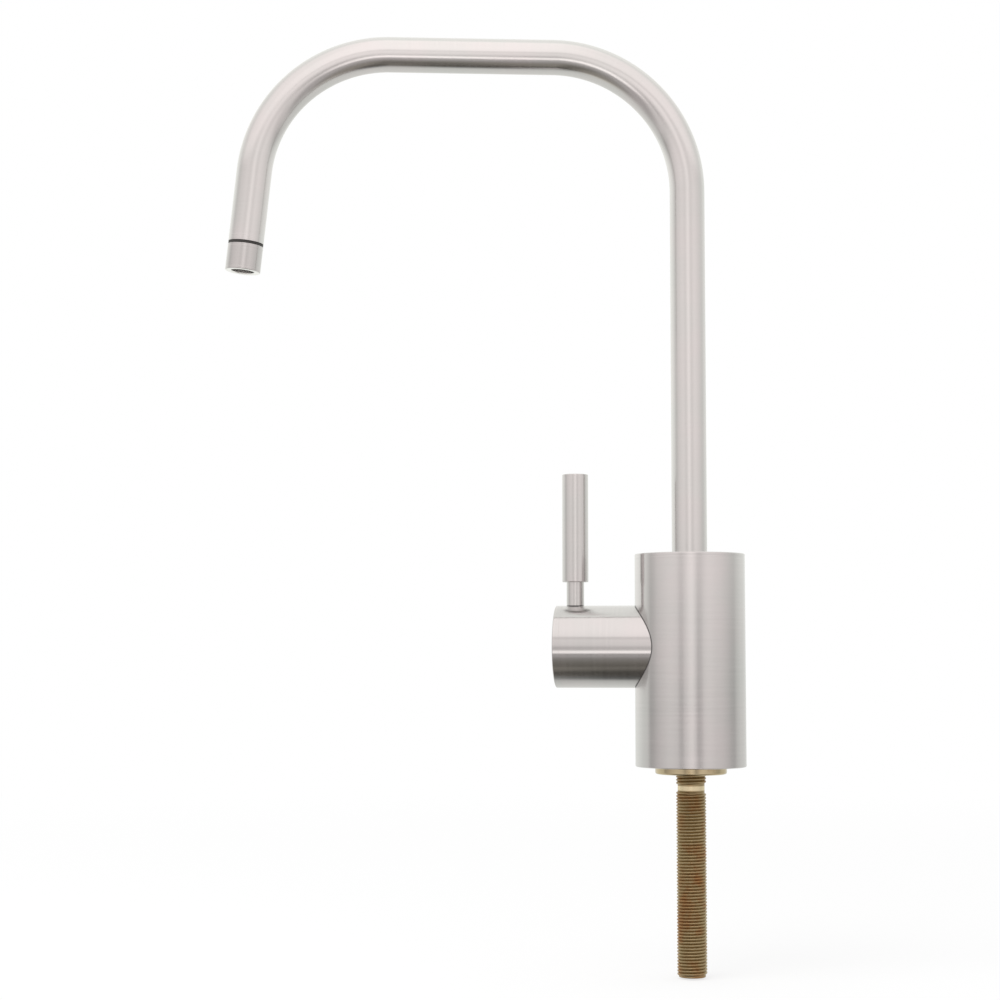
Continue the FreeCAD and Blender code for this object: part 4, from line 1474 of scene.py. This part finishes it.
    @staticmethod
    def seen(tree: Tree) -> Term:
        """1 for what the camera sees, directly, in metal or through glass, and 0 for the rest.

        Args:
            tree: The node tree.

        Returns:
            The mask.
        """
        direct = tree.node("ShaderNodeLightPath", output="Is Camera Ray")
        glossy, through = direct.others("Is Glossy Ray", "Is Transmission Ray")
        return direct.over(glossy).over(through)

    def world(self) -> None:
        """A white world where it is seen, and a plain level of light from it elsewhere."""
        world = bpy.data.worlds.new("plain_world")
        world.use_nodes = True
        tree = Tree(world.node_tree)
        strength = self.world_level + (1.0 - self.world_level) * self.seen(tree)
        sky = tree.node("ShaderNodeBackground", None, {0: WHITE, 1: strength})
        tree.node("ShaderNodeOutputWorld", None, {0: sky})
        bpy.context.scene.world = world

    def floor(self) -> bpy.types.Object:
        """A pale floor just under the shank that shows white and keeps the shadow.

        Returns:
            The floor, a flat disk.
        """
        angle = round_angles(self.floor_corners + 1)[:-1]
        points = grid(
            self.floor_radius * np.cos(angle), self.floor_radius * np.sin(angle), self.floor_height
        )
        mesh = bpy.data.meshes.new("floor")
        mesh.from_pydata((points * MM).tolist(), [], [list(range(len(points)))])
        material, tree = new_material("pale_floor")
        plain = tree.node("ShaderNodeBsdfDiffuse", None, {0: (self.floor_colour,) * 3, 1: 0.0})
        white = tree.node("ShaderNodeEmission", None, {0: WHITE, 1: 1.0})
        far = tree.vectors("LENGTH", {0: tree.spot()}, 1)
        fade = far.ramp(*(reach * MM for reach in self.floor_fade))
        share = (self.floor_share + (1.0 - self.floor_share) * fade) * self.seen(tree)
        close_material(tree, tree.node("ShaderNodeMixShader", None, {0: share, 1: plain, 2: white}))
        material.cycles.emission_sampling = "NONE"
        mesh.materials.append(material)
        floor = in_scene("floor", mesh)
        floor.visible_glossy = False
        return floor

    def tent_mesh(self) -> bpy.types.Mesh:
        """A flat disk under a dome, seen from inside.

        A point at elevation e and turn a is the radius times (cos e cos a, cos e sin a, sin e).

        Returns:
            The mesh, centred on the tent's centre.
        """
        rows, columns = self.tent_grid
        low = math.asin((self.tent_floor - self.tent_centre) / self.tent_radius)
        up = np.linspace(low, math.pi / 2, rows)
        across = np.concatenate([[0.0], np.cos(up[:-1]), [0.0]])[:, None]
        height = np.concatenate([[math.sin(low)], np.sin(up)])[:, None]
        turn = round_angles(columns)
        points = grid(across * np.cos(turn), across * np.sin(turn), height)
        skin = Skin("light_tent")
        skin.patches.append(Patch(points * self.tent_radius * MM, -points, points))
        return skin.mesh()

    def brightness(self, tree: Tree, elevation: Term, azimuth: Term, side: Term) -> Term:
        """How bright the tent is in each direction.

        A front and a back profile over elevation are blended round the sides, and a strip is
        added low in front. Near the horizon the sum is multiplied by bands over azimuth. High
        up it is dimmer away from the front, and far down it is lifted beside the front.

        Args:
            tree: The material's tree.
            elevation: 0 straight down to 1 straight up.
            azimuth: 0 to 1 for -180 to 180 degrees.
            side: 0 in front to 1 at the back.

        Returns:
            The brightness.
        """
        away = abs(azimuth - 0.5)
        front, back, strip, hold, shoulder, lift = (
            self.level(tree, elevation, table) for table in
            (self.front, self.back, self.strip, self.ring_hold, self.shoulder, self.low_lift)
        )
        low, high = (self.level(tree, azimuth, ring) for ring in (self.low_ring, self.high_ring))
        band = low + (high - low) * self.upwards(elevation, self.high_from)
        profile = front + (back - front) * side + strip * self.round_front(away, self.strip_reach)
        shoulder = shoulder * self.level(tree, away * 2.0, self.shoulder_turn)
        notch, *reach = self.low_notch
        beside = self.round_front(abs(azimuth - (0.5 + notch / 360)), reach) * (1.0 - side)
        return profile * (1.0 + hold * (band - 1.0)) * (1.0 - shoulder) * (1.0 + lift * beside)

    @staticmethod
    def upwards(elevation: Term, ends: Corner) -> Term:
        """A smooth step between two elevations in degrees."""
        return elevation.ramp(*((end + 90) / 180 for end in ends))

    @staticmethod
    def round_front(away: Term, ends: Sequence[float]) -> Term:
        """A smooth step between two angles away from the front in degrees."""
        return away.ramp(*(end / 360 for end in ends))

    def tent(self) -> bpy.types.Object:
        """The tent's soft panels, dark gaps and floor, which only the reflections show.

        Returns:
            The tent.
        """
        mesh = self.tent_mesh()
        material, tree = new_material("tent_panels")
        spot = tree.spun((0.0, 0.0, self.tent_heading))
        x, y, z = tree.node("ShaderNodeSeparateXYZ", None, {0: spot}).others("X", "Y", "Z")
        level = tree.maths("SQRT", x * x + y * y)
        elevation = tree.maths("ARCTAN2", z, level) / math.pi + 0.5
        azimuth = tree.maths("ARCTAN2", x, -y) / FULL_TURN + 0.5
        side = self.round_front(abs(azimuth - 0.5), self.side_from)
        strength = self.brightness(tree, elevation, azimuth, side)
        sunk = self.upwards(elevation, self.low_from)
        tint = tree.blend(side, tree.blend(sunk, self.front_tint, self.low_tint), self.side_tint)
        close_material(tree, tree.node("ShaderNodeEmission", None, {0: tint, 1: strength}))
        material.cycles.emission_sampling = "NONE"
        mesh.materials.append(material)
        tent = in_scene("light_tent", mesh)
        tent.location = (self.tent_middle * MM, 0.0, self.tent_centre * MM)
        tent.visible_camera = tent.visible_diffuse = tent.visible_shadow = False
        tent.visible_transmission = tent.visible_volume_scatter = False
        return tent

    def lamp(self) -> bpy.types.Object:
        """One large soft lamp above and to the left, for the floor's shadow.

        Returns:
            The lamp, which faces the origin.
        """
        data = bpy.data.lights.new("soft_lamp", "AREA")
        data.shape, data.size, data.energy = "DISK", self.lamp_size * MM, self.lamp_power
        lamp = in_scene("soft_lamp", data)
        spot = np.array(self.lamp_spot)
        lamp.location = tuple(spot * MM)
        away = spot / np.linalg.norm(spot)
        lamp.rotation_euler = (math.acos(away[2]), 0.0, math.atan2(away[1], away[0]) + math.pi / 2)
        lamp.visible_glossy = False
        return lamp

    def build(self) -> None:
        """Build the world, floor, tent and lamp."""
        bpy.context.scene.view_settings.view_transform = "Standard"
        self.world()
        self.floor()
        self.tent()
        self.lamp()


@dataclass(frozen=True)
class Faucet:
    """The whole faucet, in the order in which it is built."""

    body: Body = field(default_factory=Body)
    shank: Shank = field(default_factory=Shank)
    lever: Lever = field(default_factory=Lever)
    spout: Spout = field(default_factory=Spout)

    def build(self) -> list[bpy.types.Object]:
        """Build every sub-assembly."""
        parts = (self.body, self.shank, self.lever, self.spout)
        return [piece for part in parts for piece in part.build()]


def main() -> None:
    """Build the camera, studio and faucet, and report each piece."""
    logging.basicConfig(level=logging.INFO, format="%(message)s")
    Camera().build()
    Studio().build()
    dress_nodes()
    pieces = Faucet().build()
    log.info("%d pieces built", len(pieces))


if __name__ == "__main__":
    main()
